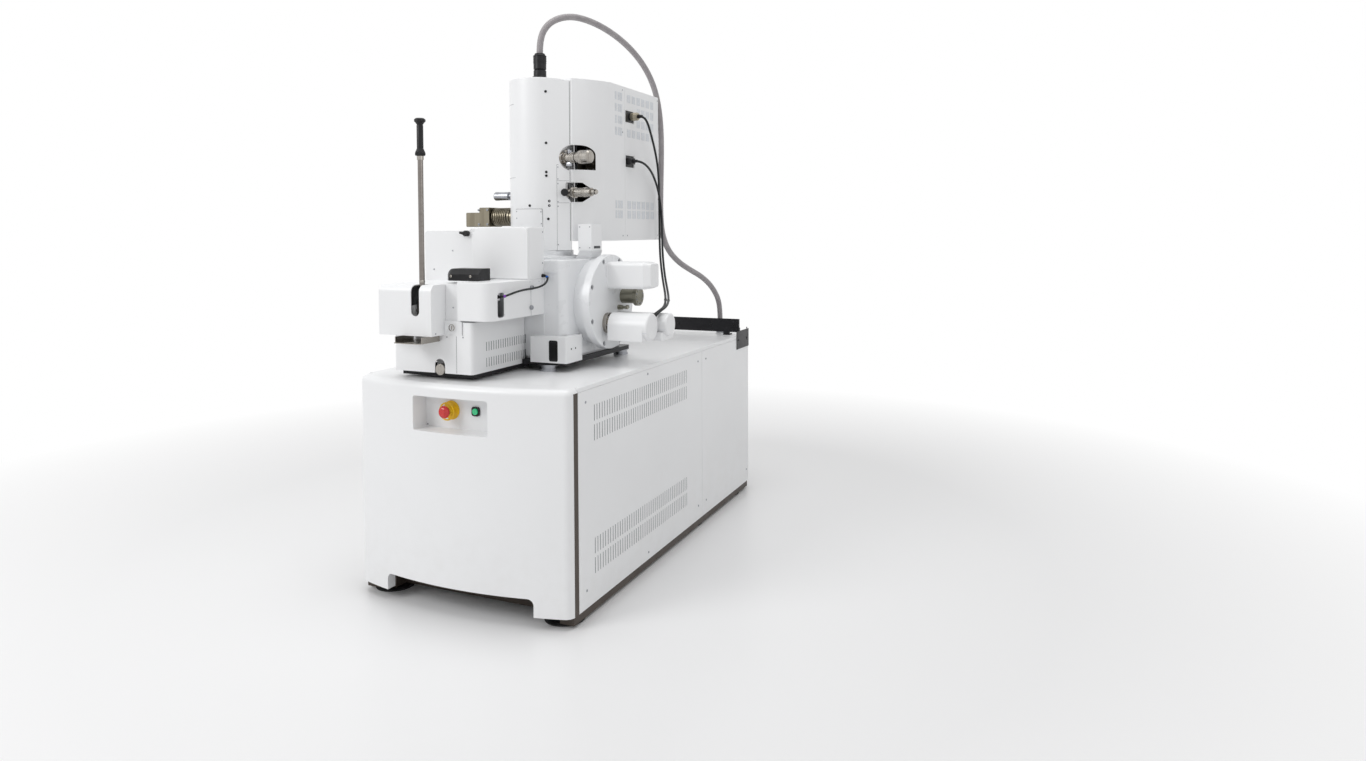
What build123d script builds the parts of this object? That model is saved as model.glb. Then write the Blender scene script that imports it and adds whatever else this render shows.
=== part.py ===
from build123d import *
import math
import os

# Scanning electron microscope, main unit: cabinet, specimen chamber, column, high-voltage box and
# specimen-exchange module. Millimetres, +X to the operator's right, +Y to the rear, +Z up.
# The origin is on the floor below the middle of the whole outline.

# Cabinet
cab_width = 800.0
cab_depth = 1680.0
cab_height = 720.0
cab_x = -35.0            # the detectors reach out to the right, so the cabinet stands left of the origin
front_bulge = 60.0       # how far the bow's ends lie behind its crown
front_flank = 18.0       # side flank of the front panel behind the bow's ends
top_line = 105.0         # crown to the seam between front panel and top
corner_radius = 30.0
panel_lift = 35.0        # floor to the lower edge of the panels
panel_wall = 3.0
panel_gap = 0.8
post_inset = 20.0        # posts and top rails stand this far inside the panels
post_width = 25.0        # strip of corner post seen between front panel and side panel
side_length = cab_depth - 686.0
top_thick = 14.0
top_round = 20.0
apron_height = 90.0      # floor to the top of the cut-out under the front panel
apron_width = 549.0
apron_x = 10.5           # middle of the cut-out from the cabinet's centre
apron_round = 20.0
apron_return = 60.0
tube_size = 34.0         # square tube of the frame
frame_lift = 8.0
crate_width = 480.0      # electronics crate inside the rear bay
crate_depth = 420.0
crate_high = cab_height - 200.0
slot_wide = 4.0          # air slots in the side panels
slot_pitch = 17.0
slot_count = int((side_length - 246.0) / slot_pitch)
slot_start = 100.0
slot_tall = 50.0
slot_rows = (150.0, 212.0, cab_height - 154.0, cab_height - 92.0)
rear_slot_tall = 8.0
rear_slot_count = 12
rear_slot_pitch = 24.0

# Feet
pad_radius = 63.0
pad_offset = 330.0
pad_setback = 136.0
block_size = 70.0
block_tall = 52.0

# Control pocket, stop button and switch
pocket_width = 280.0
pocket_low = cab_height - 150.0
pocket_high = cab_height - 41.0
pocket_x = 3.0           # centre of the pocket from the cabinet's centre
pocket_depth = 70.0
pocket_round = 9.0
plate_thick = 3.0
stop_x = -36.0
stop_z = cab_height - 92.0
ring_radius = 30.0
ring_thick = 3.0
neck_radius = 14.0
neck_length = 25.0
head_radius = 20.0
head_length = 17.0
stop_stroke = 4.0
stem_gap = 0.3
switch_x = 57.0
switch_z = cab_height - 89.5
bezel_size = 29.0
bezel_thick = 5.0
button_radius = 11.0
button_proud = 4.0

# Rear cable rail
rail_y = cab_depth / 2 - 140.0
rail_low = cab_height + 14.0
rail_tall = 59.0
rail_thick = 11.0
rail_reach = 640.0
rail_post = 28.0
bracket_long = 158.0
bracket_tall = 74.0
gland_x = 244.0
gland_y = cab_depth / 2 - 55.0
gland_radius = 21.0
gland_tall = 38.0

# Column
col_x = -55.0
col_y = -263.0
col_radius = 110.0
col_low = cab_height + 401.0
col_high = cab_height + 1010.0
cover_wall = 3.0
barrel_radius = 62.0
barrel_low = cab_height + 265.0
barrel_wide = 78.0
pole_radius = 26.0
cone_tall = 70.0
plinth_radius = 116.0
lens_radius = 150.0
lens_thick = 12.0
plate_from = -28.0       # side plate of the column, degrees about its axis
plate_to = -15.5
side_plate_top = cab_height + 716.0
gland_top_tall = 102.0
gland_top_radius = 23.0

# Aperture drives in the column
upper_z = cab_height + 729.0
upper_angle = -12.0
upper_disc = 36.0
upper_reach = 240.0
upper_knob = 23.0
lower_z = cab_height + 606.0
lower_angle = -10.0
lower_reach = 255.0
lower_body = 15.0
black_knob = 13.0
left_knob_z = cab_height + 600.0
left_knob_radius = 15.5
left_knob_reach = 199.0
valve_z = cab_height + 523.0
valve_reach = 306.0
bellows_folds = 8
bellows_pitch = 8.0

# High-voltage box
hv_right = 175.5
hv_left = -225.0
hv_back = 267.0
hv_front_left = -125.0
hv_corner_y = -155.0
hv_horn = (75.0, -296.0)
hv_bow = (139.0, -222.0)
hv_low = cab_height + 434.0
hv_seam = -42.0
hv_wall = 3.0
hv_column_gap = 2.0
hv_slot_tall = 3.0
window_left = 52.0
window_right = 139.0
window_low = cab_height + 688.0
window_high = cab_height + 775.0
window_round = 34.0
slot_right = 128.0
inlet_y = 12.0            # plated inlet on the side of the high-voltage box
inlet_z = cab_height + 904.0
plug_y = -7.0             # black plug below it
plug_z = cab_height + 734.0
rear_slots_z = cab_height + 580.0

# Small box below the high-voltage box
box_left = 121.0
box_right = 177.0
box_front = -305.0
box_back = -230.0
box_low = cab_height + 401.0
box_high = cab_height + 494.0

# Chamber
chamber_half = 220.0
chamber_front = -470.0
chamber_low = cab_height + 45.0
foot_inset = 8.0         # recess between chamber and base plate
chamber_high = cab_height + 372.0
chamber_wall = 20.0
chamber_round = 28.0
flat_left = 82.0         # shallow machined flat on the front
flat_high = cab_height + 330.0
flange_z = cab_height + 221.0
flange_radius = 166.0
flange_thick = 28.0
boss_radius = 150.0
boss_length = 40.0
bolt_circle = 153.0
bolt_count = 8
bolt_radius = 8.0
bolt_sunk = 4.0

# Isolators and base plate
iso_radius = 27.5
iso_tall = 22.0
iso_half = 160.0
iso_back_half = 201.0
iso_front = -480.0
iso_back = -30.0
base_thick = 15.0
base_margin = 15.0
plate_front = -499.0

# Detectors on the flange
det_y = -257.0
det_z = cab_height + 315.0
det_tall = 94.0
det_wide = 86.0
det_reach = 397.0
low_z = cab_height + 141.0
low_y = -300.0
low_radius = 47.0
low_reach = 408.0
collar_radius = 36.0
collar_length = 14.0
rear_det_y = -205.0
rear_det_reach = 435.0
rear_det_radius = 40.0
blank_radius = 34.0
blank_y = -178.0
blank_z = cab_height + 235.0
blank_reach = 300.0

# Specimen stage
stage_low = cab_height + 80.0
stage_size = 210.0
slide_thick = 26.0
table_radius = 60.0
table_thick = 14.0
stage_gap = 0.3

# Lower front cover of the chamber
skirt_left = 45.0
skirt_right = 188.0
skirt_front = -503.0
skirt_back = -393.0
skirt_high = cab_height + 118.0
skirt_low = cab_height + 30.0
skirt_wall = 3.0
grille_left = 120.0
grille_right = 155.0
grille_low = cab_height + 35.0
grille_high = cab_height + 106.0
grille_bars = 7

# Specimen-exchange module
mod_left = -298.0
mod_right = 10.0
mod_front = -770.0
mod_low = cab_height + 22.0
mod_high = cab_height + 144.0
mod_wall = 3.0
riser_high = cab_height + 185.0
mod_slots = 19
mod_slot_pitch = 13.0
mod_slot_wide = 3.4
mod_slot_from = -697.0
mod_slot_rows = (cab_height + 38.0, cab_height + 89.0)
mod_slot_tall = 29.0
arch_x = -115.0
arch_radius = 20.0
arch_high = cab_height + 67.0
base_knob_radius = 18.0
base_knob_z = cab_height + 33.0
rod_box_left = -304.0
rod_box_right = -98.0
rod_box_front = -830.0
rod_box_back = -476.0
rod_box_low = mod_high
rod_box_high = cab_height + 303.0
rod_box_round = 22.0
rod_x = -160.0
rod_y = -795.0
rod_radius = 8.5
pivot_z = cab_height + 222.0
rod_top = cab_height + 707.0
slot_width = 32.0
slot_low = cab_height + 206.0
grip_radius = 9.5
grip_top = cab_height + 810.0
grip_collar = 15.0
grip_knob = 17.5
tray_left = -213.0
tray_right = -109.0
tray_thick = 2.5
tray_depth = 42.0
cover_left = -42.0
cover_right = 84.0
cover_front = -774.0
cover_low = cab_height + 191.0
cover_high = cab_height + 311.0
cover_round = 45.0
slot_front = -738.0
slot_back = -702.0
tower_left = -167.0
tower_front = -563.0
tower_high = cab_height + 484.0
wing_left = -338.0
wing_low = cab_height + 289.0
wing_high = cab_height + 472.0
tower_round = 12.0
latch_front = -704.0
latch_back = -640.0
latch_left = -146.0
latch_right = -13.0
latch_tall = 39.0
lever_x = -158.0
lever_z = cab_height + 463.0
lever_length = 24.0

# Cords
conduit_diameter = 24.0
cable_diameter = 6.5
lead_diameter = 7.0

# Derived places
half_width = cab_width / 2
cab_left = cab_x - half_width
cab_right = cab_x + half_width
front_y = -cab_depth / 2
back_y = cab_depth / 2
front_end = front_y + front_bulge + front_flank
front_seam = front_y + top_line
side_front = front_end + post_width
side_back = side_front + side_length
skin_top = cab_height - top_thick
chamber_left = col_x - chamber_half
chamber_right = col_x + chamber_half
chamber_back = 2 * col_y - chamber_front
flange_inner = chamber_right + boss_length
flange_face = flange_inner + flange_thick
base_low = cab_height + iso_tall
base_high = base_low + base_thick
pocket_left = cab_x + pocket_x - pocket_width / 2
pocket_right = pocket_left + pocket_width
pocket_back = front_y + pocket_depth
shift_y = (front_y - rod_box_front + tray_depth) / 2

os.makedirs("parts", exist_ok=True)


def save(name, shape):
    # everything above is measured from the cabinet's middle, and the tray reaches past its front
    solids = [Pos(0, shift_y, 0) * solid for solid in shape.solids()]
    export_step(Compound(solids) if len(solids) > 1 else solids[0], "parts/" + name + ".step")


def box(x0, x1, y0, y1, z0, z1):
    return Pos((x0 + x1) / 2, (y0 + y1) / 2, (z0 + z1) / 2) * Box(x1 - x0, y1 - y0, z1 - z0)


def rod(radius, length, at, axis, bore=0.0):
    disc = Circle(radius)
    if bore:
        disc -= Circle(bore)
    return extrude(Plane(origin=at, z_dir=axis) * disc, length)


def rounded(x0, x1, y0, y1, z0, z1, radius, axis=Axis.Z):
    solid = box(x0, x1, y0, y1, z0, z1)
    return fillet(solid.edges().filter_by(axis), radius)


def radial(angle):
    a = math.radians(angle)
    return (math.cos(a), math.sin(a), 0)


def on_column(angle, distance, z):
    way = radial(angle)
    return (col_x + way[0] * distance, col_y + way[1] * distance, z)


def front_line(inset):
    # the bowed front of the cabinet in plan, from left end to right end
    end_y = front_end - front_flank
    left = (cab_left + inset, end_y)
    right = (cab_right - inset, end_y)
    return ThreePointArc(left, (cab_x, front_y + inset), right), left, right


def front_plan(inset, back):
    arc, left, right = front_line(inset)
    outline = arc + Polyline(right, (right[0], back), (left[0], back), left)
    face = make_face(outline)
    ends = [v for v in face.vertices() if abs(v.Y - left[1]) < 1]
    return fillet(ends, corner_radius - inset)


def front_block(inset, low, high, back):
    return extrude(Pos(0, 0, low) * front_plan(inset, back), high - low)


def front_panel():
    # bowed sheet with a rounded top that folds back to the seam with the top plate
    shell = front_block(0, panel_lift, cab_height, front_seam)
    rim = shell.edges().group_by(Axis.Z)[-1].filter_by(lambda e: e.center().Y < front_seam - 1)
    shell = fillet(rim, top_round)
    shell -= box(cab_left - 5, cab_right + 5, front_end, front_seam + 5, 0, skin_top)
    inner = front_block(panel_wall, panel_lift - 1, cab_height - panel_wall, front_seam + 10)
    inner_rim = inner.edges().group_by(Axis.Z)[-1].filter_by(lambda e: e.center().Y < front_seam - 1)
    shell -= fillet(inner_rim, top_round - panel_wall)
    # returns round the cut-out under the panel
    half = apron_width / 2
    mid = cab_x + apron_x
    lower = front_block(0, panel_lift, apron_height + panel_wall, front_seam)
    shell += lower & box(mid - half - panel_wall, mid + half + panel_wall, front_y - 1,
                         front_y + apron_return, 0, cab_height)
    cut = box(mid - half, mid + half, front_y - 5, front_end + 5, 0, apron_height)
    shell -= fillet(cut.edges().filter_by(Axis.Y).group_by(Axis.Z)[-1], apron_round)
    # walls of the control pocket
    walls = box(pocket_left - panel_wall, pocket_right + panel_wall, front_y - 5, pocket_back,
                pocket_low - panel_wall, pocket_high + panel_wall)
    shell += walls & front_block(0, panel_lift, cab_height - top_round, front_end + 30)
    return shell - rounded(pocket_left, pocket_right, front_y - 5, pocket_back + 5, pocket_low,
                           pocket_high, pocket_round, Axis.Y)


def control_plate():
    plate = box(pocket_left - panel_wall, pocket_right + panel_wall, pocket_back + 0.3,
                pocket_back + 0.3 + plate_thick, pocket_low - panel_wall, pocket_high + panel_wall)
    plate -= rod(neck_radius - 4, 60, (cab_x + stop_x, pocket_back - 20, stop_z), (0, 1, 0))
    return plate - rod(button_radius + 1, 60, (cab_x + switch_x, pocket_back - 20, switch_z), (0, 1, 0))


def stop_base():
    at = (cab_x + stop_x, pocket_back, stop_z)
    ring = rod(ring_radius, ring_thick, at, (0, -1, 0))
    ring += rod(neck_radius, neck_length, at, (0, -1, 0))
    ring += rod(neck_radius - 4.5, 34, at, (0, 1, 0))
    return ring - rod(6.0 + 0.05, 80, (at[0], at[1] - 40, stop_z), (0, 1, 0))


def stop_head():
    # mushroom head turned about its own stem
    face = neck_length + stop_stroke + stem_gap
    profile = Polyline((0, -24), (6, -24), (6, face), (neck_radius - 1, face), (neck_radius, face + 3))
    crown = profile + Spline((neck_radius, face + 3), (head_radius, face + 9),
                             (head_radius - 4, face + head_length - 1.5), (0, face + head_length))
    crown += Line((0, face + head_length), (0, -24))
    turned = revolve(Plane.XZ * make_face(crown), Axis.Z)
    return Pos(cab_x + stop_x, pocket_back, stop_z) * Rot(90, 0, 0) * turned


def switch_bezel():
    at = (cab_x + switch_x, pocket_back, switch_z)
    half = bezel_size / 2
    body = rounded(at[0] - half, at[0] + half, pocket_back - bezel_thick, pocket_back,
                   switch_z - half, switch_z + half, 8.0, Axis.Y)
    body += rod(button_radius + 0.7, 30, at, (0, 1, 0))
    return body - rod(button_radius - 1 + 0.05, 80, (at[0], at[1] - 40, switch_z), (0, 1, 0))


def switch_button():
    at = (cab_x + switch_x, pocket_back + 22, switch_z)
    button = rod(button_radius - 1, 22 + bezel_thick + button_proud, at, (0, -1, 0))
    return fillet(button.edges().group_by(Axis.Y)[0], 1.5)


def air_slots(x, y0, count, pitch, wide, low, tall):
    cuts = []
    for i in range(count):
        y = y0 + i * pitch
        cuts.append(box(x - 20, x + 20, y, y + wide, low, low + tall))
    return cuts


def side_panel(side):
    # flat sheet with folded edges and four rows of air slots
    outer = cab_x + side * half_width
    inner = outer - side * panel_wall
    fold = outer - side * 18
    y0 = side_front + panel_gap
    y1 = side_back - panel_gap
    low = panel_lift
    high = skin_top - panel_gap
    sheet = box(min(outer, fold), max(outer, fold), y0, y1, low, high)
    inside = (min(inner, fold - side * 5), max(inner, fold - side * 5))
    sheet -= box(inside[0], inside[1], y0 + panel_wall, y1 - panel_wall, low - 5, high - panel_wall)
    sheet -= box(inside[0], inside[1], y0 - 5, y1 + 5, low - 5, frame_lift + tube_size + 1)
    cuts = []
    for row in slot_rows:
        cuts += air_slots(outer, side_front + slot_start, slot_count, slot_pitch, slot_wide,
                          row - slot_tall / 2, slot_tall)
    return sheet - cuts


def rear_housing():
    # one U-shaped cover round the rear bay, with an air grille
    y0 = side_back + panel_gap
    low = panel_lift
    high = skin_top - panel_gap
    shell = rounded(cab_left, cab_right, y0 - 40, back_y, low, high, 14.0)
    shell -= rounded(cab_left + panel_wall, cab_right - panel_wall, y0 - 60, back_y - panel_wall,
                     low - 5, high + 5, 11.0)
    shell -= box(cab_left - 5, cab_right + 5, y0 - 80, y0, 0, cab_height)
    cuts = []
    for i in range(rear_slot_count):
        z = 200 + i * rear_slot_pitch
        for x0 in (cab_x - 240, cab_x + 40):
            cuts.append(box(x0, x0 + 200, back_y - 20, back_y + 5, z, z + rear_slot_tall))
    return shell - cuts


def cabinet_top():
    plate = box(cab_left, cab_right, front_seam + panel_gap, back_y, skin_top, cab_height)
    plate = fillet(plate.edges().filter_by(Axis.Z).group_by(Axis.Y)[-1], 14.0)
    plate = fillet(plate.edges().filter_by(Axis.Y).group_by(Axis.Z)[-1], 3.0)
    return plate - rod(8.0, 60, (gland_x, gland_y, skin_top - 20), (0, 0, 1))


def base_frame():
    # welded square tube: two sills, cross members, posts and the top rails
    clear = panel_wall + panel_gap
    y0 = side_front - post_width + panel_gap
    y1 = back_y - panel_wall - 15
    low = frame_lift
    high = skin_top
    frame = None
    for side in (-1, 1):
        outer = cab_x + side * (half_width - clear)
        sill = across(outer, side, tube_size, y0, y1, low, low + tube_size)
        inner = cab_x + side * (half_width - post_inset)
        sill += across(inner, side, tube_size, y0, y1, high - tube_size, high)
        for y in (y0, side_back - tube_size / 2, y1 - tube_size):
            sill += across(inner, side, tube_size, y, y + tube_size, low, high)
        # corner post shown as a strip between front panel and side panel
        sill += across(cab_x + side * half_width, side, post_inset + 2, front_end + panel_gap,
                       side_front - panel_gap, panel_lift, skin_top - panel_gap)
        frame = sill if frame is None else frame + sill
    left = cab_left + post_inset
    right = cab_right - post_inset
    for y in (y0 + 70, side_back, side_back + crate_depth - 120, y1 - tube_size):
        frame += box(left, right, y, y + tube_size, low, low + tube_size)
    for y in (y0 + 70, side_back, y1 - tube_size):
        frame += box(left, right, y, y + tube_size, high - tube_size, high)
    for x, y in pad_places():
        frame += box(x - block_size / 2, x + block_size / 2, y - block_size / 2, y + block_size / 2, low,
                     low + block_tall)
    return frame


def across(x, side, thick, y0, y1, z0, z1):
    # a bar whose outer face lies at x, on the given side of the cabinet
    inner = x - side * thick
    return box(min(x, inner), max(x, inner), y0, y1, z0, z1)


def pad_places():
    y_front = front_y + pad_setback
    y_back = back_y - pad_setback
    return [(cab_x + side * pad_offset, y) for side in (-1, 1) for y in (y_front, side_back, y_back)]


def levelling_feet():
    feet = []
    for x, y in pad_places():
        profile = Polyline((0, 0), (pad_radius, 0), (pad_radius, frame_lift - 4),
                           (pad_radius - 8, frame_lift), (0, frame_lift), (0, 0))
        feet.append(Pos(x, y, 0) * revolve(Plane.XZ * make_face(profile), Axis.Z))
    return Compound(children=feet)


def power_unit():
    # electronics crate that stands on the frame's cross members
    y0 = side_back + 10
    half = crate_width / 2
    crate = box(cab_x - half, cab_x + half, y0, y0 + crate_depth, frame_lift + tube_size, crate_high)
    for i in range(5):
        z = 120 + i * 80
        crate -= box(cab_x - half + 25, cab_x + half - 25, y0 - 1, y0 + 6, z, z + 56)
    return crate


def rear_rail():
    bar = box(cab_right - rail_reach, cab_right, rail_y, rail_y + rail_thick, rail_low,
              rail_low + rail_tall)
    for x in (cab_right - 60, cab_right - rail_reach + 60):
        bar += box(x - rail_post / 2, x + rail_post / 2, rail_y, rail_y + rail_thick, cab_height,
                   rail_low + 1)
        bar += box(x - rail_post / 2, x + rail_post / 2, rail_y, rail_y + 40, cab_height,
                   cab_height + 5)
    # side bracket at the rear right corner
    ear = box(cab_right, cab_right + 3, rail_y - 30, rail_y - 30 + bracket_long,
              rail_low - bracket_tall, rail_low + 6)
    ear += box(cab_right - 1, cab_right + 3, rail_y, rail_y + rail_thick, rail_low, rail_low + 20)
    return bar + ear - rod(4.0, 20, (cab_right - 5, rail_y + 100, rail_low - 40), (1, 0, 0))


def rear_gland():
    at = (gland_x, gland_y, cab_height)
    body = extrude(Plane(origin=at) * RegularPolygon(gland_radius, 6), 12)
    body += rod(gland_radius - 4, gland_tall, at, (0, 0, 1))
    body += rod(7.5, top_thick, at, (0, 0, -1))
    return body


def isolators():
    feet = []
    for side in (-1, 1):
        for x, y in ((col_x + side * iso_half, iso_front), (col_x + side * iso_back_half, iso_back)):
            profile = Polyline((0, 0), (iso_radius, 0), (iso_radius, 8), (iso_radius - 3, 9),
                               (iso_radius - 3, 15), (iso_radius, 16), (iso_radius, iso_tall),
                               (0, iso_tall), (0, 0))
            feet.append(Pos(x, y, cab_height) * revolve(Plane.XZ * make_face(profile), Axis.Z))
    return Compound(children=feet)


def base_plate():
    # black plate under the chamber, with a tongue in front that carries the exchange module
    plate = rounded(chamber_left - base_margin, chamber_right + base_margin, plate_front,
                    chamber_back + 36, base_low, base_high, 10.0)
    plate -= box(mod_left - 5, mod_right + 3, plate_front - 5, chamber_front + 0.3, mod_low - 5,
                 base_high + 5)
    tongue = box(mod_left + 14, mod_right - 10, mod_front + 26, chamber_front + 30, cab_height + 7,
                 mod_low - 0.5)
    collar = box(mod_left + 14, mod_right - 10, chamber_front + 4, chamber_front + 30, mod_low - 1,
                 base_low + 1)
    well = rod(iso_radius + 3, iso_tall, (col_x - iso_half, iso_front, cab_height), (0, 0, 1))
    return plate + (tongue + collar - well)


def chamber_body():
    # machined vacuum chamber with side boss, top bore and open inside
    body = box(chamber_left, chamber_right, chamber_front, chamber_back, chamber_low, chamber_high)
    body = fillet(body.edges().filter_by(Axis.Z), chamber_round)
    body = chamfer(body.faces().sort_by(Axis.Z)[-1].edges(), 3.0)
    centre = (chamber_right - 5, col_y, flange_z)
    body += rod(boss_radius, boss_length + 5, centre, (1, 0, 0))
    body += box(chamber_left + foot_inset, chamber_right - foot_inset, chamber_front + foot_inset,
                chamber_back - foot_inset, base_high, chamber_low + 1)
    w = chamber_wall
    body -= rounded(chamber_left + w, chamber_right - w, chamber_front + w, chamber_back - w,
                    chamber_low + w, chamber_high - w, 12.0)
    body -= rod(boss_radius - 30, boss_length + 60, (chamber_right - 50, col_y, flange_z), (1, 0, 0))
    body -= rod(barrel_radius + 0.3, 60, (col_x, col_y, chamber_high - 40), (0, 0, 1))
    # shallow flat on the front, beside the corner
    body -= box(flat_left, chamber_right - chamber_round, chamber_front - 5, chamber_front + 2,
                skirt_high + 3, flat_high)
    return body


def chamber_flange():
    plate = rod(flange_radius, flange_thick, (flange_inner, col_y, flange_z), (1, 0, 0))
    plate = fillet(plate.edges().group_by(Axis.X)[-1], 3.0)
    for i in range(bolt_count):
        a = math.radians(360 / bolt_count * (i + 0.5))
        spot = (flange_face - 12, col_y + bolt_circle * math.cos(a), flange_z + bolt_circle * math.sin(a))
        plate -= rod(bolt_radius + 1, 20, spot, (1, 0, 0))
    return plate


def flange_bolts():
    heads = []
    for i in range(bolt_count):
        a = math.radians(360 / bolt_count * (i + 0.5))
        spot = (flange_face - 12, col_y + bolt_circle * math.cos(a), flange_z + bolt_circle * math.sin(a))
        head = rod(bolt_radius, 12 - bolt_sunk, spot, (1, 0, 0))
        tip = (flange_face - bolt_sunk - 4, spot[1], spot[2])
        heads.append(head - extrude(Plane(origin=tip, z_dir=(1, 0, 0)) * RegularPolygon(4.0, 6), 5))
    return Compound(children=heads)


def upper_detector():
    # moulded housing with a tapered end cap
    y0 = det_y - det_wide / 2
    z0 = det_z - det_tall / 2
    body = rounded(flange_face, det_reach - 24, y0, y0 + det_wide, z0, z0 + det_tall, 14.0, Axis.X)
    root = body.faces().sort_by(Axis.X)[-1]
    cap = loft([root, Plane(origin=(det_reach, det_y, det_z), x_dir=(0, 1, 0), z_dir=(1, 0, 0))
                * RectangleRounded(det_wide - 22, det_tall - 14, 10)])
    return body + cap


def detector_collar():
    ring = rod(collar_radius, collar_length, (flange_face, low_y, low_z + 8), (1, 0, 0))
    ring += rod(collar_radius - 8, collar_length + 12, (flange_face, low_y, low_z + 8), (1, 0, 0))
    return ring


def lower_detector():
    x0 = flange_face + collar_length + 12
    body = rod(low_radius, low_reach - x0, (x0, low_y, low_z), (1, 0, 0))
    body += box(x0, low_reach - 18, low_y - low_radius, low_y + low_radius, low_z - low_radius, low_z)
    body = fillet(body.edges().group_by(Axis.X)[-1], 7.0)
    return body


def rear_detector():
    x0 = flange_face
    body = rod(rear_det_radius, rear_det_reach - x0, (x0, rear_det_y, low_z), (1, 0, 0))
    body = fillet(body.edges().group_by(Axis.X)[-1], 6.0)
    slab = rounded(x0 + 30, rear_det_reach - 12, low_y + low_radius + 1, rear_det_y + 50,
                   low_z - 52, low_z - 24, 8.0)
    return body + slab


def blank_flange():
    # round end flange on a short port, with a pipe fitting below it
    port = rod(blank_radius - 8, blank_reach - 14 - flange_face, (flange_face, blank_y, blank_z), (1, 0, 0))
    disc = rod(blank_radius, 14, (blank_reach - 14, blank_y, blank_z), (1, 0, 0))
    cuts = [rod(2.6, 4, (blank_reach - 3, blank_y + 26 * math.cos(k * math.pi / 4),
                         blank_z + 26 * math.sin(k * math.pi / 4)), (1, 0, 0)) for k in range(8)]
    return port + (disc - cuts)


def chamber_skirt():
    # folded cover round the lower front corner of the chamber
    w = skirt_wall
    skirt = rounded(skirt_left, skirt_right, skirt_front, skirt_back, skirt_low, skirt_high, 6.0)
    skirt -= box(skirt_left + w, skirt_right - w, skirt_front + w, skirt_back + 5, skirt_low - 5,
                 skirt_high - w)
    skirt -= box(skirt_left - 5, chamber_right + 0.3, chamber_front - 0.3, skirt_back + 5, skirt_low - 5,
                 skirt_high + 5)
    skirt -= box(skirt_left - 5, skirt_right - w, skirt_front + w, skirt_back + 5, skirt_low - 5, base_high)
    return skirt - rounded(grille_left, grille_right, skirt_front - 5, skirt_front + w + 1, grille_low,
                           grille_high, 7.0, Axis.Y)


def skirt_grille():
    back = skirt_front + skirt_wall
    body = rounded(grille_left + 0.3, grille_right - 0.3, skirt_front + 1, back, grille_low + 0.3,
                   grille_high - 0.3, 6.5, Axis.Y)
    body += box(grille_left - 4, grille_right + 4, back, back + 4, base_high + 1, grille_high + 4)
    pitch = (grille_right - grille_left - 6) / grille_bars
    for i in range(grille_bars):
        x = grille_left + 3 + (i + 0.5) * pitch
        body -= box(x - pitch / 4, x + pitch / 4, skirt_front, back + 1, grille_low + 8, grille_high - 8)
    return body


def stage_x_slide():
    half = stage_size / 2
    z0 = stage_low
    slide = box(col_x - half, col_x + half, col_y - half, col_y + half, z0, z0 + slide_thick)
    rail = box(col_x - half, col_x + half, col_y - 22, col_y + 22, chamber_low + chamber_wall + stage_gap,
               z0 + 1)
    return slide + rail


def stage_y_slide():
    z0 = stage_low + slide_thick + stage_gap
    half = stage_size / 2 - 20
    slide = box(col_x - half, col_x + half, col_y - half, col_y + half, z0, z0 + slide_thick)
    slide -= rod(22.05, 60, (col_x, col_y, z0 + 6), (0, 0, 1))
    return slide


def specimen_table():
    z0 = stage_low + 2 * slide_thick + 2 * stage_gap
    table = rod(table_radius, table_thick, (col_x, col_y, z0), (0, 0, 1))
    table += rod(22.0, slide_thick - 7, (col_x, col_y, z0), (0, 0, -1))
    table += rod(8.0, 18, (col_x, col_y, z0 + table_thick), (0, 0, 1))
    return table


def column_cover():
    # tall round cover with openings for the drives on both sides
    tall = col_high - col_low
    shell = rod(col_radius, tall, (col_x, col_y, col_low), (0, 0, 1))
    shell = fillet(shell.edges().group_by(Axis.Z)[-1], 3.0)
    shell -= rod(col_radius - cover_wall, tall - cover_wall, (col_x, col_y, col_low - 0.01), (0, 0, 1))
    shell -= rod(upper_disc + 3, 120, on_column(upper_angle, 60, upper_z), radial(upper_angle))
    shell -= rod(lower_body + 22, 120, on_column(lower_angle + 6, 60, lower_z), radial(lower_angle + 6))
    shell -= rod(left_knob_radius + 4, 120, on_column(180, 60, left_knob_z), (-1, 0, 0))
    shell -= rod(37, 120, on_column(180, 60, valve_z), (-1, 0, 0))
    shell -= rod(gland_top_radius - 8, 40, (col_x, col_y, col_high - 20), (0, 0, 1))
    return shell


def column_sector(inner, outer, start, stop, low, high):
    points = [on_column(start + (stop - start) * k / 4, outer + 40, 0) for k in range(5)]
    wedge = make_face(Polyline((col_x, col_y), *[(p[0], p[1]) for p in points], (col_x, col_y)))
    ring = Pos(col_x, col_y) * (Circle(outer) - Circle(inner))
    return extrude(Pos(0, 0, low) * (ring & wedge), high - low)


def column_side_plate():
    plate = column_sector(col_radius + 0.3, col_radius + 2.3, plate_from, plate_to, col_low + 2,
                          side_plate_top)
    plate -= rod(upper_disc + 5, 120, on_column(upper_angle, 60, upper_z), radial(upper_angle))
    return plate - rod(lower_body + 24, 120, on_column(lower_angle + 6, 60, lower_z),
                       radial(lower_angle + 6))


def lens_barrel():
    # turned inner column: gun, lenses and the pole piece that points at the specimen
    tip = barrel_low
    cone = tip + cone_tall
    top = col_high - 60
    steps = [(0, tip), (pole_radius - 14, tip), (pole_radius, tip + 6), (barrel_radius, cone),
             (barrel_radius, tip + 205), (barrel_wide, tip + 215), (barrel_wide, tip + 290), (52, tip + 300),
             (52, tip + 385), (70, tip + 400), (70, tip + 515), (58, tip + 527), (58, top - 60),
             (40, top - 50), (40, top), (0, top), (0, tip)]
    barrel = revolve(Plane.XZ * make_face(Polyline(*steps)), Axis.Z)
    return Pos(col_x, col_y, 0) * barrel


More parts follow.
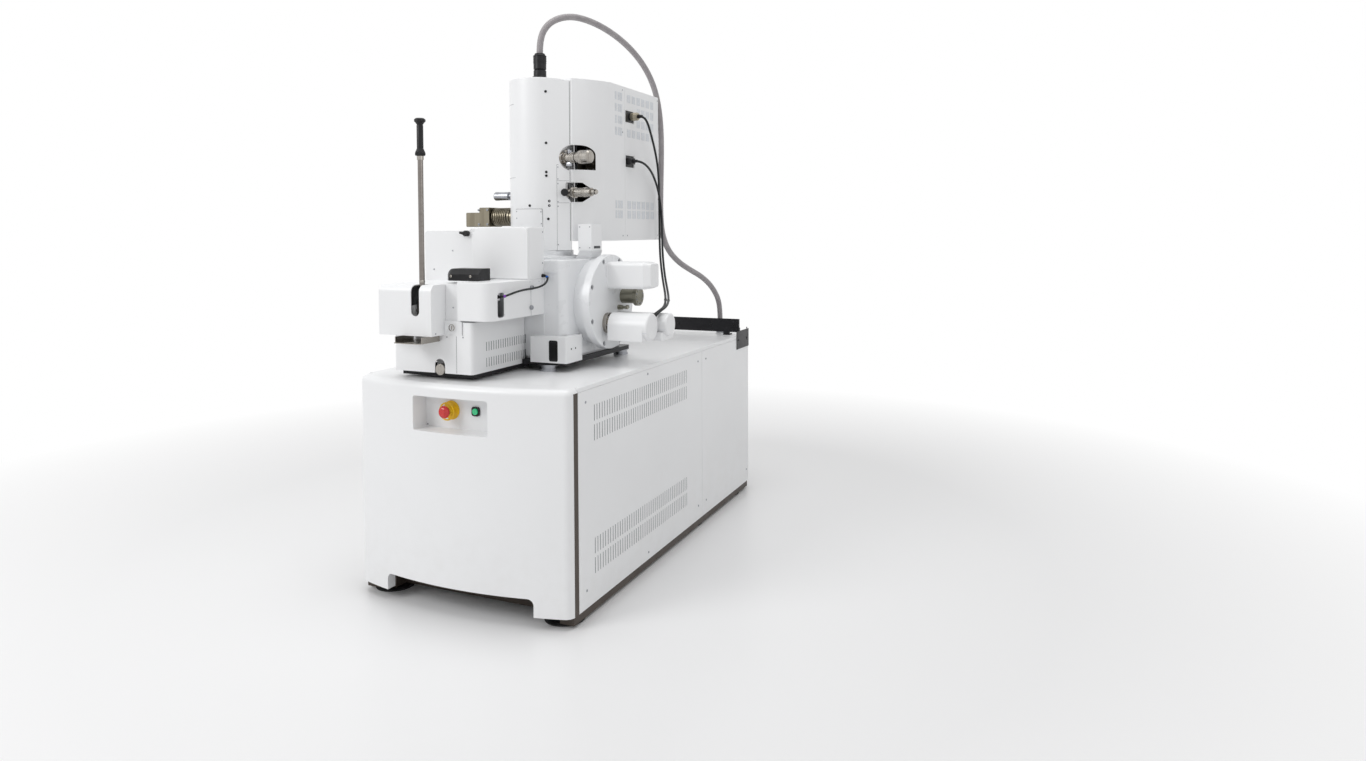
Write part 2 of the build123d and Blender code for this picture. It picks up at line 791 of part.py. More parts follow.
def column_plinth():
    top = col_low
    low = chamber_high
    profile = Polyline((barrel_radius + 0.3, low), (lens_radius, low), (lens_radius, low + 6),
                       (plinth_radius, low + lens_thick), (plinth_radius, top - 1),
                       (col_radius + 2, top), (barrel_radius + 0.3, top), (barrel_radius + 0.3, low))
    return Pos(col_x, col_y, 0) * revolve(Plane.XZ * make_face(profile), Axis.Z)


def top_gland():
    # split cable gland on the column's top
    z0 = col_high
    r = gland_top_radius
    profile = Polyline((0, z0), (r + 8, z0), (r + 8, z0 + 5), (r, z0 + 8), (r, z0 + 40), (r - 3, z0 + 43),
                       (r, z0 + 46), (r, z0 + gland_top_tall - 12), (r - 5, z0 + gland_top_tall),
                       (0, z0 + gland_top_tall), (0, z0))
    gland = Pos(col_x, col_y, 0) * revolve(Plane.XZ * make_face(profile), Axis.Z)
    return gland + rod(r - 8.5, 20, (col_x, col_y, z0), (0, 0, -1))


def upper_aperture():
    way = radial(upper_angle)
    body = rod(upper_disc, 16, on_column(upper_angle, 92, upper_z), way)
    body += rod(26, 24, on_column(upper_angle, 70.3, upper_z), way)
    body += rod(29, 18, on_column(upper_angle, 106, upper_z), way)
    body += rod(17, 52, on_column(upper_angle, 120, upper_z), way)
    return body - rod(10.05, 60, on_column(upper_angle, 140, upper_z), way)


def upper_aperture_knob():
    way = radial(upper_angle)
    knob = rod(upper_knob, upper_reach - 190, on_column(upper_angle, 190, upper_z), way)
    knob = chamfer(knob.edges().group_by(Axis(on_column(0, 0, upper_z), way))[-1], 5.0)
    knob += rod(15, 16.6, on_column(upper_angle, 173.4, upper_z), way)
    return knob + rod(10.0, 42, on_column(upper_angle, 148, upper_z), way)


def lower_aperture():
    way = radial(lower_angle)
    body = rod(20, 30, on_column(lower_angle, 52.3, lower_z), way)
    body += rod(lower_body, lower_reach - 96, on_column(lower_angle, 78, lower_z), way)
    body += rod(lower_body + 4, 14, on_column(lower_angle, 150, lower_z), way)
    body += rod(lower_body - 5, 18, on_column(lower_angle, lower_reach - 20, lower_z), way)
    side = radial(lower_angle - 55)
    start = on_column(lower_angle, 118, lower_z)
    body += rod(11, 34, start, side)
    return body - rod(4.05, 20, (start[0] + side[0] * 22, start[1] + side[1] * 22, lower_z), side)


def lower_aperture_knob():
    side = radial(lower_angle - 55)
    start = on_column(lower_angle, 118, lower_z)
    seat = (start[0] + side[0] * 34.3, start[1] + side[1] * 34.3, lower_z)
    knob = rod(black_knob, 16, seat, side)
    knob = fillet(knob.edges().group_by(Axis(seat, side))[-1], 2.0)
    return knob + rod(4.0, 11, seat, (-side[0], -side[1], 0))


def left_aperture_knob():
    knob = rod(left_knob_radius, 62, on_column(180, left_knob_reach - 62, left_knob_z), (-1, 0, 0))
    knob = fillet(knob.edges().group_by(Axis.X)[0], 4.0)
    return knob + rod(9.0, left_knob_reach - 62 - 52.3, on_column(180, 52.3, left_knob_z), (-1, 0, 0))


def gate_valve():
    # stepped valve body with bellows towards the column
    step = col_x - 242
    bellows = col_x - 197
    inner = col_x - barrel_wide - 0.3
    body = box(step, bellows - 2, col_y - 42, col_y + 42, valve_z - 36, valve_z + 35)
    body += box(col_x - valve_reach, step, col_y - 36, col_y + 36, valve_z - 36, valve_z + 17)
    body = chamfer(body.edges().filter_by(Axis.X), 3.0)
    profile = [(bellows - 4, 0), (bellows - 4, 28)]
    for i in range(bellows_folds):
        x = bellows + i * bellows_pitch
        profile += [(x, 28), (x + bellows_pitch / 4, 34), (x + bellows_pitch * 0.6, 34)]
    end = bellows + bellows_folds * bellows_pitch
    profile += [(end, 28), (end + 6, 28), (end + 6, 24), (inner, 24), (inner, 0),
                (bellows - 4, 0)]
    turned = revolve(Plane.XZ * make_face(Polyline(*profile)), Axis.X)
    return body + Pos(0, col_y, valve_z) * turned


def hv_plan(inset):
    # plan of the high-voltage box: bowed front corner, wrapped round the column
    i = inset
    arc = ThreePointArc((hv_right - i, hv_corner_y + i / 2), (hv_bow[0] - i * 0.8, hv_bow[1] + i * 0.8),
                        (hv_horn[0], hv_horn[1] + i * 1.4))
    path = arc + Polyline((hv_horn[0], hv_horn[1] + i * 1.4), (col_x, col_y + i),
                          (hv_left + i, hv_front_left + i), (hv_left + i, hv_back - i),
                          (hv_right - i, hv_back - i), (hv_right - i, hv_corner_y + i / 2))
    face = make_face(path)
    return face - Pos(col_x, col_y) * Circle(col_radius + hv_column_gap + i)


def hv_shell():
    shell = extrude(Pos(0, 0, hv_low) * hv_plan(0), col_high - hv_low)
    shell = fillet(shell.edges().filter_by(Axis.Z).group_by(Axis.Y)[-1], 12.0)
    inner = extrude(Pos(0, 0, hv_low + hv_wall) * hv_plan(hv_wall), col_high - hv_low - 2 * hv_wall)
    return shell - inner


def hv_box():
    # front half, cut away round both aperture drives
    front = hv_shell() - box(hv_left - 5, hv_right + 5, hv_seam - panel_gap / 2, hv_back + 5, hv_low - 5,
                             col_high + 5)
    window = box(window_left, window_right, hv_horn[1] - 20, hv_bow[1] + 40, window_low, window_high)
    corner = window.edges().filter_by(Axis.Y).group_by(Axis.Z)[-1].sort_by(Axis.X)[-1]
    front -= fillet(corner, window_round)
    # legs behind the column, down to the chamber's lid
    front += box(hv_left + 25, hv_left + 105, hv_seam - 76, chamber_back - 6, chamber_high, hv_low + 1)
    slot = box(window_left, slot_right, hv_horn[1] - 20, hv_bow[1] + 40, lower_z - 33, lower_z + 36)
    return front - chamfer(slot.edges().filter_by(Axis.Y).group_by(Axis.X)[-1], 18.0)


def hv_cover():
    rear = hv_shell() - box(hv_left - 5, hv_right + 5, hv_corner_y - 180, hv_seam + panel_gap / 2,
                            hv_low - 5, col_high + 5)
    rear -= rounded(hv_right - 10, hv_right + 5, -38, 36, inlet_z - 24, inlet_z + 20, 6.0, Axis.X)
    rear -= rounded(hv_right - 10, hv_right + 5, -38, 36, plug_z - 23, plug_z + 21, 6.0, Axis.X)
    for i in range(10):
        z = rear_slots_z + i * 14
        rear -= box(hv_left + 60, hv_right - 60, hv_back - 10, hv_back + 5, z, z + 2 * hv_slot_tall)
    return rear


def hv_connectors():
    # two inlets set into the side of the high-voltage box
    inner = hv_right - hv_wall
    body = rounded(inner - 12, inner - 0.3, -44, 42, inlet_z - 30, inlet_z + 26, 4.0, Axis.X)
    body += rod(14, 34, (inner - 1, inlet_y, inlet_z), (1, 0, 0))
    lower = rounded(inner - 12, inner - 0.3, -44, 42, plug_z - 29, plug_z + 27, 4.0, Axis.X)
    lower += rounded(inner - 1, inner + 20, -26, 12, plug_z - 12, plug_z + 12, 6.0, Axis.X)
    return Compound(children=[body, lower])


def junction_box():
    body = rounded(box_left, box_right, box_front, box_back, box_low, box_high, 4.0)
    cut = extrude(Pos(0, 0, hv_low - 0.5) * hv_plan(-0.5), 400)
    body -= cut
    foot_top = Plane(origin=((box_left + box_right) / 2, box_front + 45, box_low)) * Rectangle(50, 76)
    foot_low = Plane(origin=((box_left + box_right) / 2 - 22, box_front + 60, chamber_high)) \
        * Rectangle(60, 70)
    foot = loft([foot_low, foot_top])
    foot -= rod(lens_radius + 0.3, 400, (col_x, col_y, cab_height + 180), (0, 0, 1))
    return body + foot


def module_base():
    # sheet housing of the exchange module, open below, with air slots on its right side
    w = mod_wall
    back = chamber_front - 0.3
    shell = rounded(mod_left, mod_right, mod_front, back, mod_low, mod_high, 12.0)
    shell += rounded(mod_right - 40, mod_right, mod_front, back, mod_low, riser_high, 12.0)
    shell -= rounded(mod_left + w, mod_right - w, mod_front + w, back - w, mod_low - 5, mod_high - w, 9.0)
    for low in mod_slot_rows:
        shell -= air_slots(mod_right, mod_slot_from, mod_slots, mod_slot_pitch, mod_slot_wide, low,
                           mod_slot_tall)
    arch = rod(arch_radius, 20, (arch_x, mod_front - 10, arch_high - arch_radius), (0, 1, 0))
    arch += box(arch_x - arch_radius, arch_x + arch_radius, mod_front - 10, mod_front + 10, mod_low - 5,
                arch_high - arch_radius)
    shell -= arch
    # inner plate that carries the knob
    wall = box(arch_x - 34, arch_x + 34, mod_front + 30, mod_front + 36, mod_low + 1, mod_high - 1)
    shell += wall - rod(5.05, 30, (arch_x, mod_front + 20, base_knob_z), (0, 1, 0))
    return shell


def base_knob():
    knob = rod(base_knob_radius, 24, (arch_x, mod_front - 1, base_knob_z), (0, 1, 0))
    knob = fillet(knob.edges().group_by(Axis.Y)[0], 2.0)
    flutes = []
    for i in range(18):
        a = math.radians(20 * i)
        spot = (arch_x + base_knob_radius * math.cos(a), mod_front - 3,
                base_knob_z + base_knob_radius * math.sin(a))
        flutes.append(rod(1.3, 40, spot, (0, 1, 0)))
    knob -= flutes
    return knob + rod(5.0, 20, (arch_x, mod_front + 20, base_knob_z), (0, 1, 0))


def rod_box():
    # housing of the exchange rod: rounded top, and a slot the rod swings down through
    shell = box(rod_box_left, rod_box_right, rod_box_front, rod_box_back, rod_box_low, rod_box_high)
    shell = fillet(shell.edges().filter_by(Axis.X).group_by(Axis.Y)[0].group_by(Axis.Z)[-1],
                   rod_box_round)
    w = mod_wall
    inner = box(rod_box_left + w, rod_box_right - w, rod_box_front + w, rod_box_back - w,
                rod_box_low + w, rod_box_high - w)
    inner = fillet(inner.edges().filter_by(Axis.X).group_by(Axis.Y)[0].group_by(Axis.Z)[-1],
                   rod_box_round - w)
    shell -= inner
    half = slot_width / 2
    slot = box(rod_x - half, rod_x + half, rod_box_front - 5, rod_y + half, slot_low, rod_box_high + 5)
    slot = fillet(slot.edges().filter_by(Axis.Y).group_by(Axis.Z)[0], half - 1)
    shell -= slot
    # ears that carry the rod's trunnion
    for side in (-1, 1):
        x = rod_x + side * 24
        ear = box(x - 4, x + 4, rod_y - 16, rod_y + 16, rod_box_low + 1, pivot_z + 16)
        shell += ear - rod(6.05, 60, (rod_x - 30, rod_y, pivot_z), (1, 0, 0))
    return shell


def exchange_rod():
    # polished tube on a trunnion block
    tube = rod(rod_radius, rod_top - pivot_z + 4, (rod_x, rod_y, pivot_z - 4), (0, 0, 1))
    block = rounded(rod_x - 13, rod_x + 13, rod_y - 13, rod_y + 13, pivot_z - 13, pivot_z + 30, 4.0)
    tube += block
    return tube + rod(6.0, 56, (rod_x - 28, rod_y, pivot_z), (1, 0, 0))


def rod_handle():
    z0 = rod_top
    g = grip_radius
    profile = Polyline((0, z0), (grip_collar, z0), (grip_collar, z0 + 12), (g, z0 + 24), (g - 1, z0 + 60),
                       (g, grip_top - 6), (grip_knob - 4, grip_top), (grip_knob, grip_top + 4),
                       (grip_knob, grip_top + 10), (grip_knob - 5, grip_top + 14), (0, grip_top + 14),
                       (0, z0))
    return Pos(rod_x, rod_y, 0) * revolve(Plane.XZ * make_face(profile), Axis.Z)


def loading_tray():
    # bent plate below the rod housing, with turned-up sides
    y0 = rod_box_front - tray_depth
    y1 = rod_box_front + 60
    z1 = rod_box_low
    z0 = z1 - 20
    tray = rounded(tray_left, tray_right, y0, y1, z0, z0 + tray_thick, 8.0)
    for x in (tray_left, tray_right - tray_thick):
        wing = box(x, x + tray_thick, y0 + 10, y1 - 8, z0, z1)
        tray += wing
    window = rounded(tray_left + 34, tray_right - 34, y0 + 14, y0 + 26, z0 - 5, z0 + 5, 5.0)
    return tray - window


def transfer_block():
    # stepped block between the rod housing and the curved cover
    left = rod_box_right + 0.5
    right = cover_left - 0.5
    block = box(left, right, cover_front + 14, -566, mod_high, cover_high - 8)
    block += box(left, mod_right - 41, cover_front + 6, -600, mod_high, cover_low - 3)
    block = fillet(block.edges().filter_by(Axis.Z).group_by(Axis.Y)[0].sort_by(Axis.X)[-1], 3.0)
    screw = rod(9.0, 5, (left + 12, cover_front + 7, cover_low - 24), (0, -1, 0))
    return block + screw


def transfer_cover():
    # curved cover over the exchange chamber, with a cable slot on its right side
    back = chamber_front - 0.3
    w = mod_wall
    shell = box(cover_left, cover_right, cover_front, back, cover_low, cover_high)
    corner = shell.edges().filter_by(Axis.Z).group_by(Axis.Y)[0].sort_by(Axis.X)[-1]
    shell = fillet(corner, cover_round)
    shell = fillet(shell.faces().sort_by(Axis.Z)[-1].edges().group_by(Axis.Y)[0], 2.5)
    room = box(cover_left - 5, cover_right - w, cover_front + w, back - w, riser_high, cover_high - w)
    corner = room.edges().filter_by(Axis.Z).group_by(Axis.Y)[0].sort_by(Axis.X)[-1]
    shell -= fillet(corner, cover_round - w)
    shell -= rounded(cover_right - 40, cover_right + 5, slot_front, slot_back, cover_low + 9,
                     cover_high - 33, 10.0, Axis.X)
    # socket bracket of the module's lead, hung under the top inside the slot
    shell += box(cover_right - 28, cover_right - 14, slot_front + 3, slot_back - 5, cover_high - 58,
                 cover_high - 1)
    # the side panel stands a little inside the cover's upper band
    shell -= box(cover_right - 1.5, cover_right + 5, slot_back, back + 5, cover_low - 5, cover_high - 31)
    shell -= box(cover_right - 5, cover_right + 5, slot_back + 153, slot_back + 153.8, cover_low - 5,
                 cover_high - 31)
    return shell


def transfer_housing():
    # tower in front of the chamber, and the tall panel beside it
    back = chamber_front - 0.3
    tower = box(tower_left, cover_right, tower_front, back, cover_high, tower_high)
    tower = fillet(tower.edges().filter_by(Axis.Z).group_by(Axis.Y)[0].sort_by(Axis.X)[-1], tower_round)
    tower = chamfer(tower.edges().filter_by(Axis.Y).group_by(Axis.Z)[-1].sort_by(Axis.X)[0], 28.0)
    tower = fillet(tower.edges().filter_by(Axis.X).group_by(Axis.Z)[-1].sort_by(Axis.Y)[0], 6.0)
    tower += box(tower_left, cover_left - 1, tower_front, back, rod_box_high, cover_high + 1)
    wing = box(wing_left, tower_left + 1, tower_front + 1, back - 8, rod_box_high, wing_high)
    wing = fillet(wing.edges().filter_by(Axis.Y).group_by(Axis.X)[0].group_by(Axis.Z)[-1], 10.0)
    low = box(wing_left, rod_box_left - 0.5, tower_front + 1, back - 8, wing_low, rod_box_high + 1)
    return tower + wing + low


def latch_block():
    # black latch housing on the curved cover, rounded where it reaches over the rod housing
    block = box(latch_left, latch_right, latch_front, latch_back, cover_high, cover_high + latch_tall)
    block = fillet(block.edges().filter_by(Axis.Y).group_by(Axis.X)[0].sort_by(Axis.Z)[-1], 24.0)
    block = chamfer(block.edges().filter_by(Axis.Z).group_by(Axis.X)[0].sort_by(Axis.Y)[0], 18.0)
    return block


def clamp_lever():
    # small lever on the tower's cut corner, turning about a pin through its face
    y = tower_front - 0.3
    hub = rod(10.0, 15, (lever_x, y, lever_z), (0, -1, 0))
    hub = fillet(hub.edges().group_by(Axis.Y)[0], 2.0)
    arm = loft([Plane(origin=(lever_x - 6, y - 9, lever_z), z_dir=(-1, 0, 0)) * RectangleRounded(11, 14, 3),
                Plane(origin=(lever_x - lever_length, y - 9, lever_z + 3), z_dir=(-1, 0, 0))
                * RectangleRounded(8, 10, 3)])
    return hub + arm


def cord_path(points):
    # straight runs joined by tangent arcs, each as large as its two runs allow
    vectors = [Vector(x, y, cab_height + above) for x, y, above in points]
    radii = []
    for before, at, after in zip(vectors, vectors[1:], vectors[2:]):
        turn = math.radians((at - before).get_angle(after - at))
        shorter = min((at - before).length, (after - at).length)
        radii.append(0.45 * shorter / math.tan(turn / 2))
    return FilletPolyline(*vectors, radius=radii), radii


def cord(name, points, diameter):
    path, radii = cord_path(points)
    start = Plane(origin=path @ 0, z_dir=path % 0)
    tube = sweep(start * Circle(diameter / 2), path=path)
    section = math.pi * diameter ** 2 / 4
    print(name, "length", round(path.length), "radii", [round(r) for r in radii], "volume ratio",
          round(tube.volume / (section * path.length), 4))
    return tube


# x, y and height above the cabinet's top
conduit_points = [
    (col_x, col_y, col_high + gland_top_tall - cab_height), (col_x, col_y, 1152), (-42, -255, 1202),
    (-12, -232, 1238), (26, -176, 1259), (57, -92, 1257), (86, 10, 1237), (114, 110, 1198), (136, 200, 1142),
    (150, 268, 1070), (157, 306, 985), (160, 322, 880), (158, 326, 770), (155, 326, 660),
    (152, 328, 550), (153, 340, 460), (160, 384, 388), (175, 462, 335), (194, 548, 298),
    (213, 632, 266), (230, 706, 222), (242, 766, 160), (gland_x, gland_y, 98),
    (gland_x, gland_y, gland_tall)]

cable_a_points = [
    (hv_right + 30, 12, 904), (225, 12, 904), (236, 28, 886), (234, 62, 846), (226, 112, 796),
    (214, 165, 740), (203, 203, 675), (197, 218, 600), (196, 222, 520), (199, 216, 445),
    (210, 196, 375), (236, 152, 316), (274, 84, 270), (320, 0, 236), (362, -88, 212),
    (390, -165, 198), (396, -225, 188), (391, -262, 176)]

cable_b_points = [
    (hv_right + 17, -7, 734), (212, -7, 734), (225, 20, 727), (226, 66, 710), (219, 120, 683),
    (210, 172, 646), (206, 206, 596), (206, 222, 530), (208, 222, 460), (216, 206, 394),
    (236, 172, 336), (270, 112, 286), (314, 34, 248), (356, -48, 224), (390, -128, 210),
    (408, -190, 200), (404, -236, 188), (398, -262, 173)]

lead_points = [
    (cover_right - 14, -722, 265), (cover_right + 8, -722, 265), (cover_right + 18, -704, 271),
    (cover_right + 21, -666, 278), (cover_right + 20, -618, 282), (cover_right + 21, -566, 283),
    (cover_right + 22, -522, 287), (cover_right + 26, -495, 298), (cover_right + 24, -481, 320),
    (cover_right, -481, 320)]


def main():
    save("base_frame", base_frame())
    save("front_panel", front_panel())
    save("control_plate", control_plate())
    save("right_side_panel", side_panel(1))
    save("left_side_panel", side_panel(-1))
    save("rear_housing", rear_housing())
    save("cabinet_top", cabinet_top())
    save("levelling_feet", levelling_feet())
    save("stop_base", stop_base())
    save("stop_head", stop_head())
    save("switch_bezel", switch_bezel())
    save("switch_button", switch_button())
    save("power_unit", power_unit())
    save("rear_rail", rear_rail())
    save("rear_gland", rear_gland())
    save("isolators", isolators())
    save("base_plate", base_plate())
    save("chamber_body", chamber_body())
    save("chamber_flange", chamber_flange())
    save("flange_bolts", flange_bolts())
    save("upper_detector", upper_detector())
    save("detector_collar", detector_collar())
    save("lower_detector", lower_detector())
    save("rear_detector", rear_detector())
    save("blank_flange", blank_flange())
    save("chamber_skirt", chamber_skirt())
    save("skirt_grille", skirt_grille())
    save("stage_x_slide", stage_x_slide())
    save("stage_y_slide", stage_y_slide())
    save("specimen_table", specimen_table())
    save("column_cover", column_cover())
    save("column_side_plate", column_side_plate())
    save("lens_barrel", lens_barrel())
    save("column_plinth", column_plinth())
    save("top_gland", top_gland())
    save("upper_aperture", upper_aperture())
    save("upper_aperture_knob", upper_aperture_knob())
    save("lower_aperture", lower_aperture())
    save("lower_aperture_knob", lower_aperture_knob())
    save("left_aperture_knob", left_aperture_knob())
    save("gate_valve", gate_valve())
    save("hv_box", hv_box())
    save("hv_cover", hv_cover())
    save("hv_connectors", hv_connectors())
    save("junction_box", junction_box())
    save("module_base", module_base())
    save("base_knob", base_knob())
    save("rod_box", rod_box())
    save("exchange_rod", exchange_rod())
    save("rod_handle", rod_handle())
    save("loading_tray", loading_tray())
    save("transfer_block", transfer_block())
    save("transfer_cover", transfer_cover())
    save("transfer_housing", transfer_housing())
    save("latch_block", latch_block())
    save("clamp_lever", clamp_lever())
    save("conduit", cord("conduit", conduit_points, conduit_diameter))
    save("cable_a", cord("cable_a", cable_a_points, cable_diameter))
    save("cable_b", cord("cable_b", cable_b_points, cable_diameter))
    save("module_lead", cord("module_lead", lead_points, lead_diameter))


main()
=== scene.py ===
import math
import bmesh
import bpy
from mathutils import Matrix, Vector


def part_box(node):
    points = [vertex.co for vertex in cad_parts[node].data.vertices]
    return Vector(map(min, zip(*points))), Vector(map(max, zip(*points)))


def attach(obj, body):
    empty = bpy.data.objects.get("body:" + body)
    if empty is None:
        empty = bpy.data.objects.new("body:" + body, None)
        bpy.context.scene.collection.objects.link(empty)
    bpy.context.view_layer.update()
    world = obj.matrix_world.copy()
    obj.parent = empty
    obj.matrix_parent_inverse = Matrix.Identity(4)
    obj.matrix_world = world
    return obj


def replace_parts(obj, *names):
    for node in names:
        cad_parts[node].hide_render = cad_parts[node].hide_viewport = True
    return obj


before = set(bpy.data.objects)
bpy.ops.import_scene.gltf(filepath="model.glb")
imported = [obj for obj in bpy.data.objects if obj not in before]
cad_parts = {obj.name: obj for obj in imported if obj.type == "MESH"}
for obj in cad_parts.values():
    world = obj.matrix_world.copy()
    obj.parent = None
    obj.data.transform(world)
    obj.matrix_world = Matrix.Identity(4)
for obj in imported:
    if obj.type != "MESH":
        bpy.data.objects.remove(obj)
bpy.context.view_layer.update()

centreShift = 16  # mm from the cabinet's own middle to the frame's
columnAxis = (-55, -263)
columnRadius = 110


def at(x, y, z):
    # millimetres from the cabinet's middle to metres in the frame
    return Vector((x, y + centreShift, z)) / 1000


# camera

view = {
    "place": (1.6795, -2.994, 1.187),
    "lens": 23.169,
    "yaw": 23.4134,
    "down": 2.0236,
    "roll": 0.2301,
    "shift": (0.00318, -0.0864),
}


def makeCamera(values):
    yaw, down, roll = (math.radians(values[key]) for key in ("yaw", "down", "roll"))
    right = Vector((math.cos(yaw), math.sin(yaw), 0))
    ahead = Vector((-math.sin(yaw) * math.cos(down), math.cos(yaw) * math.cos(down), -math.sin(down)))
    under = ahead.cross(right)
    across = right * math.cos(roll) + under * math.sin(roll)
    lower = under * math.cos(roll) - right * math.sin(roll)
    data = bpy.data.cameras.new("camera")
    data.sensor_fit = "HORIZONTAL"
    data.sensor_width = 36
    data.lens = values["lens"]
    data.shift_x, data.shift_y = values["shift"]
    camera = bpy.data.objects.new("camera", data)
    bpy.context.scene.collection.objects.link(camera)
    turn = Matrix((across, -lower, -ahead)).transposed().to_4x4()
    camera.matrix_world = Matrix.Translation(values["place"]) @ turn
    bpy.context.scene.camera = camera


makeCamera(view)
print("camera placed")


# finishes

class Socket:
    # one output of a node, so that shader maths reads as sums
    def __init__(self, finish, out):
        self.finish = finish
        self.out = out

    def maths(self, operation, first, second):
        return self.finish.node("Math", {"operation": operation}, {0: first, 1: second})

    def __add__(self, other):
        return self.maths("ADD", self, other)

    def __sub__(self, other):
        return self.maths("SUBTRACT", self, other)

    def __rsub__(self, other):
        return self.maths("SUBTRACT", other, self)

    def __mul__(self, other):
        return self.maths("MULTIPLY", self, other)

    def __gt__(self, other):
        return self.maths("GREATER_THAN", self, other)

    __radd__ = __add__
    __rmul__ = __mul__


class Finish:
    def __init__(self, name, kind="material"):
        if kind == "world":
            self.material = bpy.data.worlds.new(name)
        else:
            self.material = bpy.data.materials.new(name)
        self.material.use_nodes = True
        self.tree = self.material.node_tree
        self.shader = self.tree.nodes.get("Principled BSDF")

    def node(self, kind, settings=None, inputs=None, out=0):
        made = self.tree.nodes.new("ShaderNode" + kind)
        for key, value in (settings or {}).items():
            if key == "stops":
                ramp = made.color_ramp
                while len(ramp.elements) < len(value):
                    ramp.elements.new(1)
                for element, (position, colour) in zip(ramp.elements, value):
                    element.position = position
                    element.color = (*colour, 1)
            else:
                setattr(made, key, value)
        self.fill([socket for socket in made.inputs if socket.enabled], inputs or {})
        return Socket(self, [socket for socket in made.outputs if socket.enabled][out])

    def fill(self, sockets, inputs):
        for key, value in inputs.items():
            socket = sockets[key] if isinstance(key, int) else next(s for s in sockets if s.name == key)
            if isinstance(value, Socket):
                self.tree.links.new(value.out, socket)
            elif isinstance(value, (tuple, list)) and socket.type == "RGBA":
                socket.default_value = (*value, 1)
            else:
                socket.default_value = value

    def surface(self, **inputs):
        names = {key: key.replace("_", " ") for key in inputs}
        self.fill(list(self.shader.inputs), {names[key]: value for key, value in inputs.items()})

    def place(self):
        return self.node("TexCoord", None, None, 3)

    def height(self):
        return self.node("SeparateXYZ", None, {"Vector": self.place()}, 2)

    def noise(self, scale, detail=2, stretch=(1, 1, 1)):
        where = self.node("Mapping", None, {"Vector": self.place(), "Scale": stretch})
        return self.node("TexNoise", None, {"Vector": where, "Scale": scale, "Detail": detail})

    def blend(self, mask, first, second):
        return self.node("Mix", {"data_type": "RGBA"}, {"Factor": mask, "A": first, "B": second})

    def band(self, value, low, high, fromValue=0, toValue=1):
        numbers = {"From Min": low, "From Max": high, "To Min": fromValue, "To Max": toValue}
        return self.node("MapRange", {"clamp": True}, {"Value": value, **numbers})

    def bump(self, relief, strength, depth):
        return self.node("Bump", None, {"Height": relief, "Strength": strength, "Distance": depth})


def paintedMetal(name, colour, grubby, rough, grain, coat=0.0):
    # sprayed paint: fine orange peel, slow drift of tone, dust that gathers low down
    made = Finish(name)
    drift = made.noise(2.4, 3)
    peel = made.noise(grain, 2)
    ripple = made.noise(grain * 0.22, 1)
    rubs = made.noise(11, 5)
    tone = made.blend(made.band(drift, 0.35, 0.7), colour, tuple(part * 0.975 for part in colour))
    low = made.band(made.height(), 0.02, 0.4, 0.1, 0)
    dust = low * made.band(made.noise(26, 6), 0.42, 0.68)
    made.surface(
        Base_Color=made.blend(dust, tone, grubby),
        Roughness=made.band(rubs, 0.3, 0.75, rough - 0.05, rough + 0.08) + dust * 0.2,
        Normal=made.bump(peel * 0.6 + ripple * 0.4, 0.16, 0.0006),
        Coat_Weight=coat,
        Coat_Roughness=0.2,
        Specular_IOR_Level=0.5 if colour[0] > 0.3 else 0.25,
    )
    return made.material


def turnedMetal(name, colour, dark, rough, lines, pitch=900.0, metallic=1.0):
    # lathe or brush lines run across the direction that "lines" stretches
    made = Finish(name)
    streak = made.noise(1, 3, tuple(pitch if axis else 4 for axis in lines))
    broad = made.noise(1, 2, tuple(pitch * 0.12 if axis else 2 for axis in lines))
    stain = made.noise(18, 5)
    marks = streak * 0.45 + broad * 0.55
    tone = made.blend(made.band(marks, 0.25, 0.62), dark, colour)
    stained = made.blend(made.band(stain, 0.55, 0.8, 0, 0.3), tone, dark)
    made.surface(
        Base_Color=stained,
        Metallic=metallic,
        Roughness=made.band(marks, 0.3, 0.7, rough + 0.06, rough - 0.04),
        Normal=made.bump(marks, 0.08, 0.0002),
    )
    return made.material


def mouldedPlastic(name, colour, worn, rough, grain, coat=0.0):
    made = Finish(name)
    pits = made.node("TexVoronoi", {"feature": "F1"}, {"Vector": made.place(), "Scale": grain})
    soft = made.noise(30, 4)
    tone = made.blend(made.band(soft, 0.45, 0.75), colour, worn)
    made.surface(
        Base_Color=tone,
        Roughness=made.band(soft, 0.3, 0.7, rough - 0.04, rough + 0.1),
        Normal=made.bump(pits, 0.12, 0.0003),
        Coat_Weight=coat,
        Coat_Roughness=0.08,
        Specular_IOR_Level=0.3,
    )
    return made.material


def dustyRubber(name, colour, dust, rough):
    made = Finish(name)
    speckle = made.noise(700, 2)
    cloud = made.noise(40, 5)
    lying = made.band(cloud, 0.45, 0.72, 0, 0.55)
    made.surface(
        Base_Color=made.blend(lying, colour, dust),
        Roughness=made.band(cloud, 0.3, 0.7, rough - 0.08, rough + 0.08),
        Normal=made.bump(speckle, 0.3, 0.0005),
        Specular_IOR_Level=0.3,
    )
    return made.material


def inletMetal(name, colour, dark, black, split):
    # the upper inlet is plated, the lower one is a black moulding: one node holds both
    made = Finish(name)
    across = made.node("SeparateXYZ", None, {"Vector": made.place()}, 0)
    upper = (made.height() > split) * (across > 0.1766)
    marks = made.noise(1, 3, (900, 5, 5))
    stain = made.noise(60, 4)
    plated = made.blend(made.band(marks + stain * 0.4, 0.45, 0.95), dark, colour)
    made.surface(
        Base_Color=made.blend(upper, black, plated),
        Metallic=upper * 1.0,
        Roughness=made.band(marks, 0.3, 0.7, 0.28, 0.4) + (1 - upper) * 0.12,
        Normal=made.bump(marks + made.noise(900, 2) * 0.5, 0.15, 0.0004),
    )
    return made.material


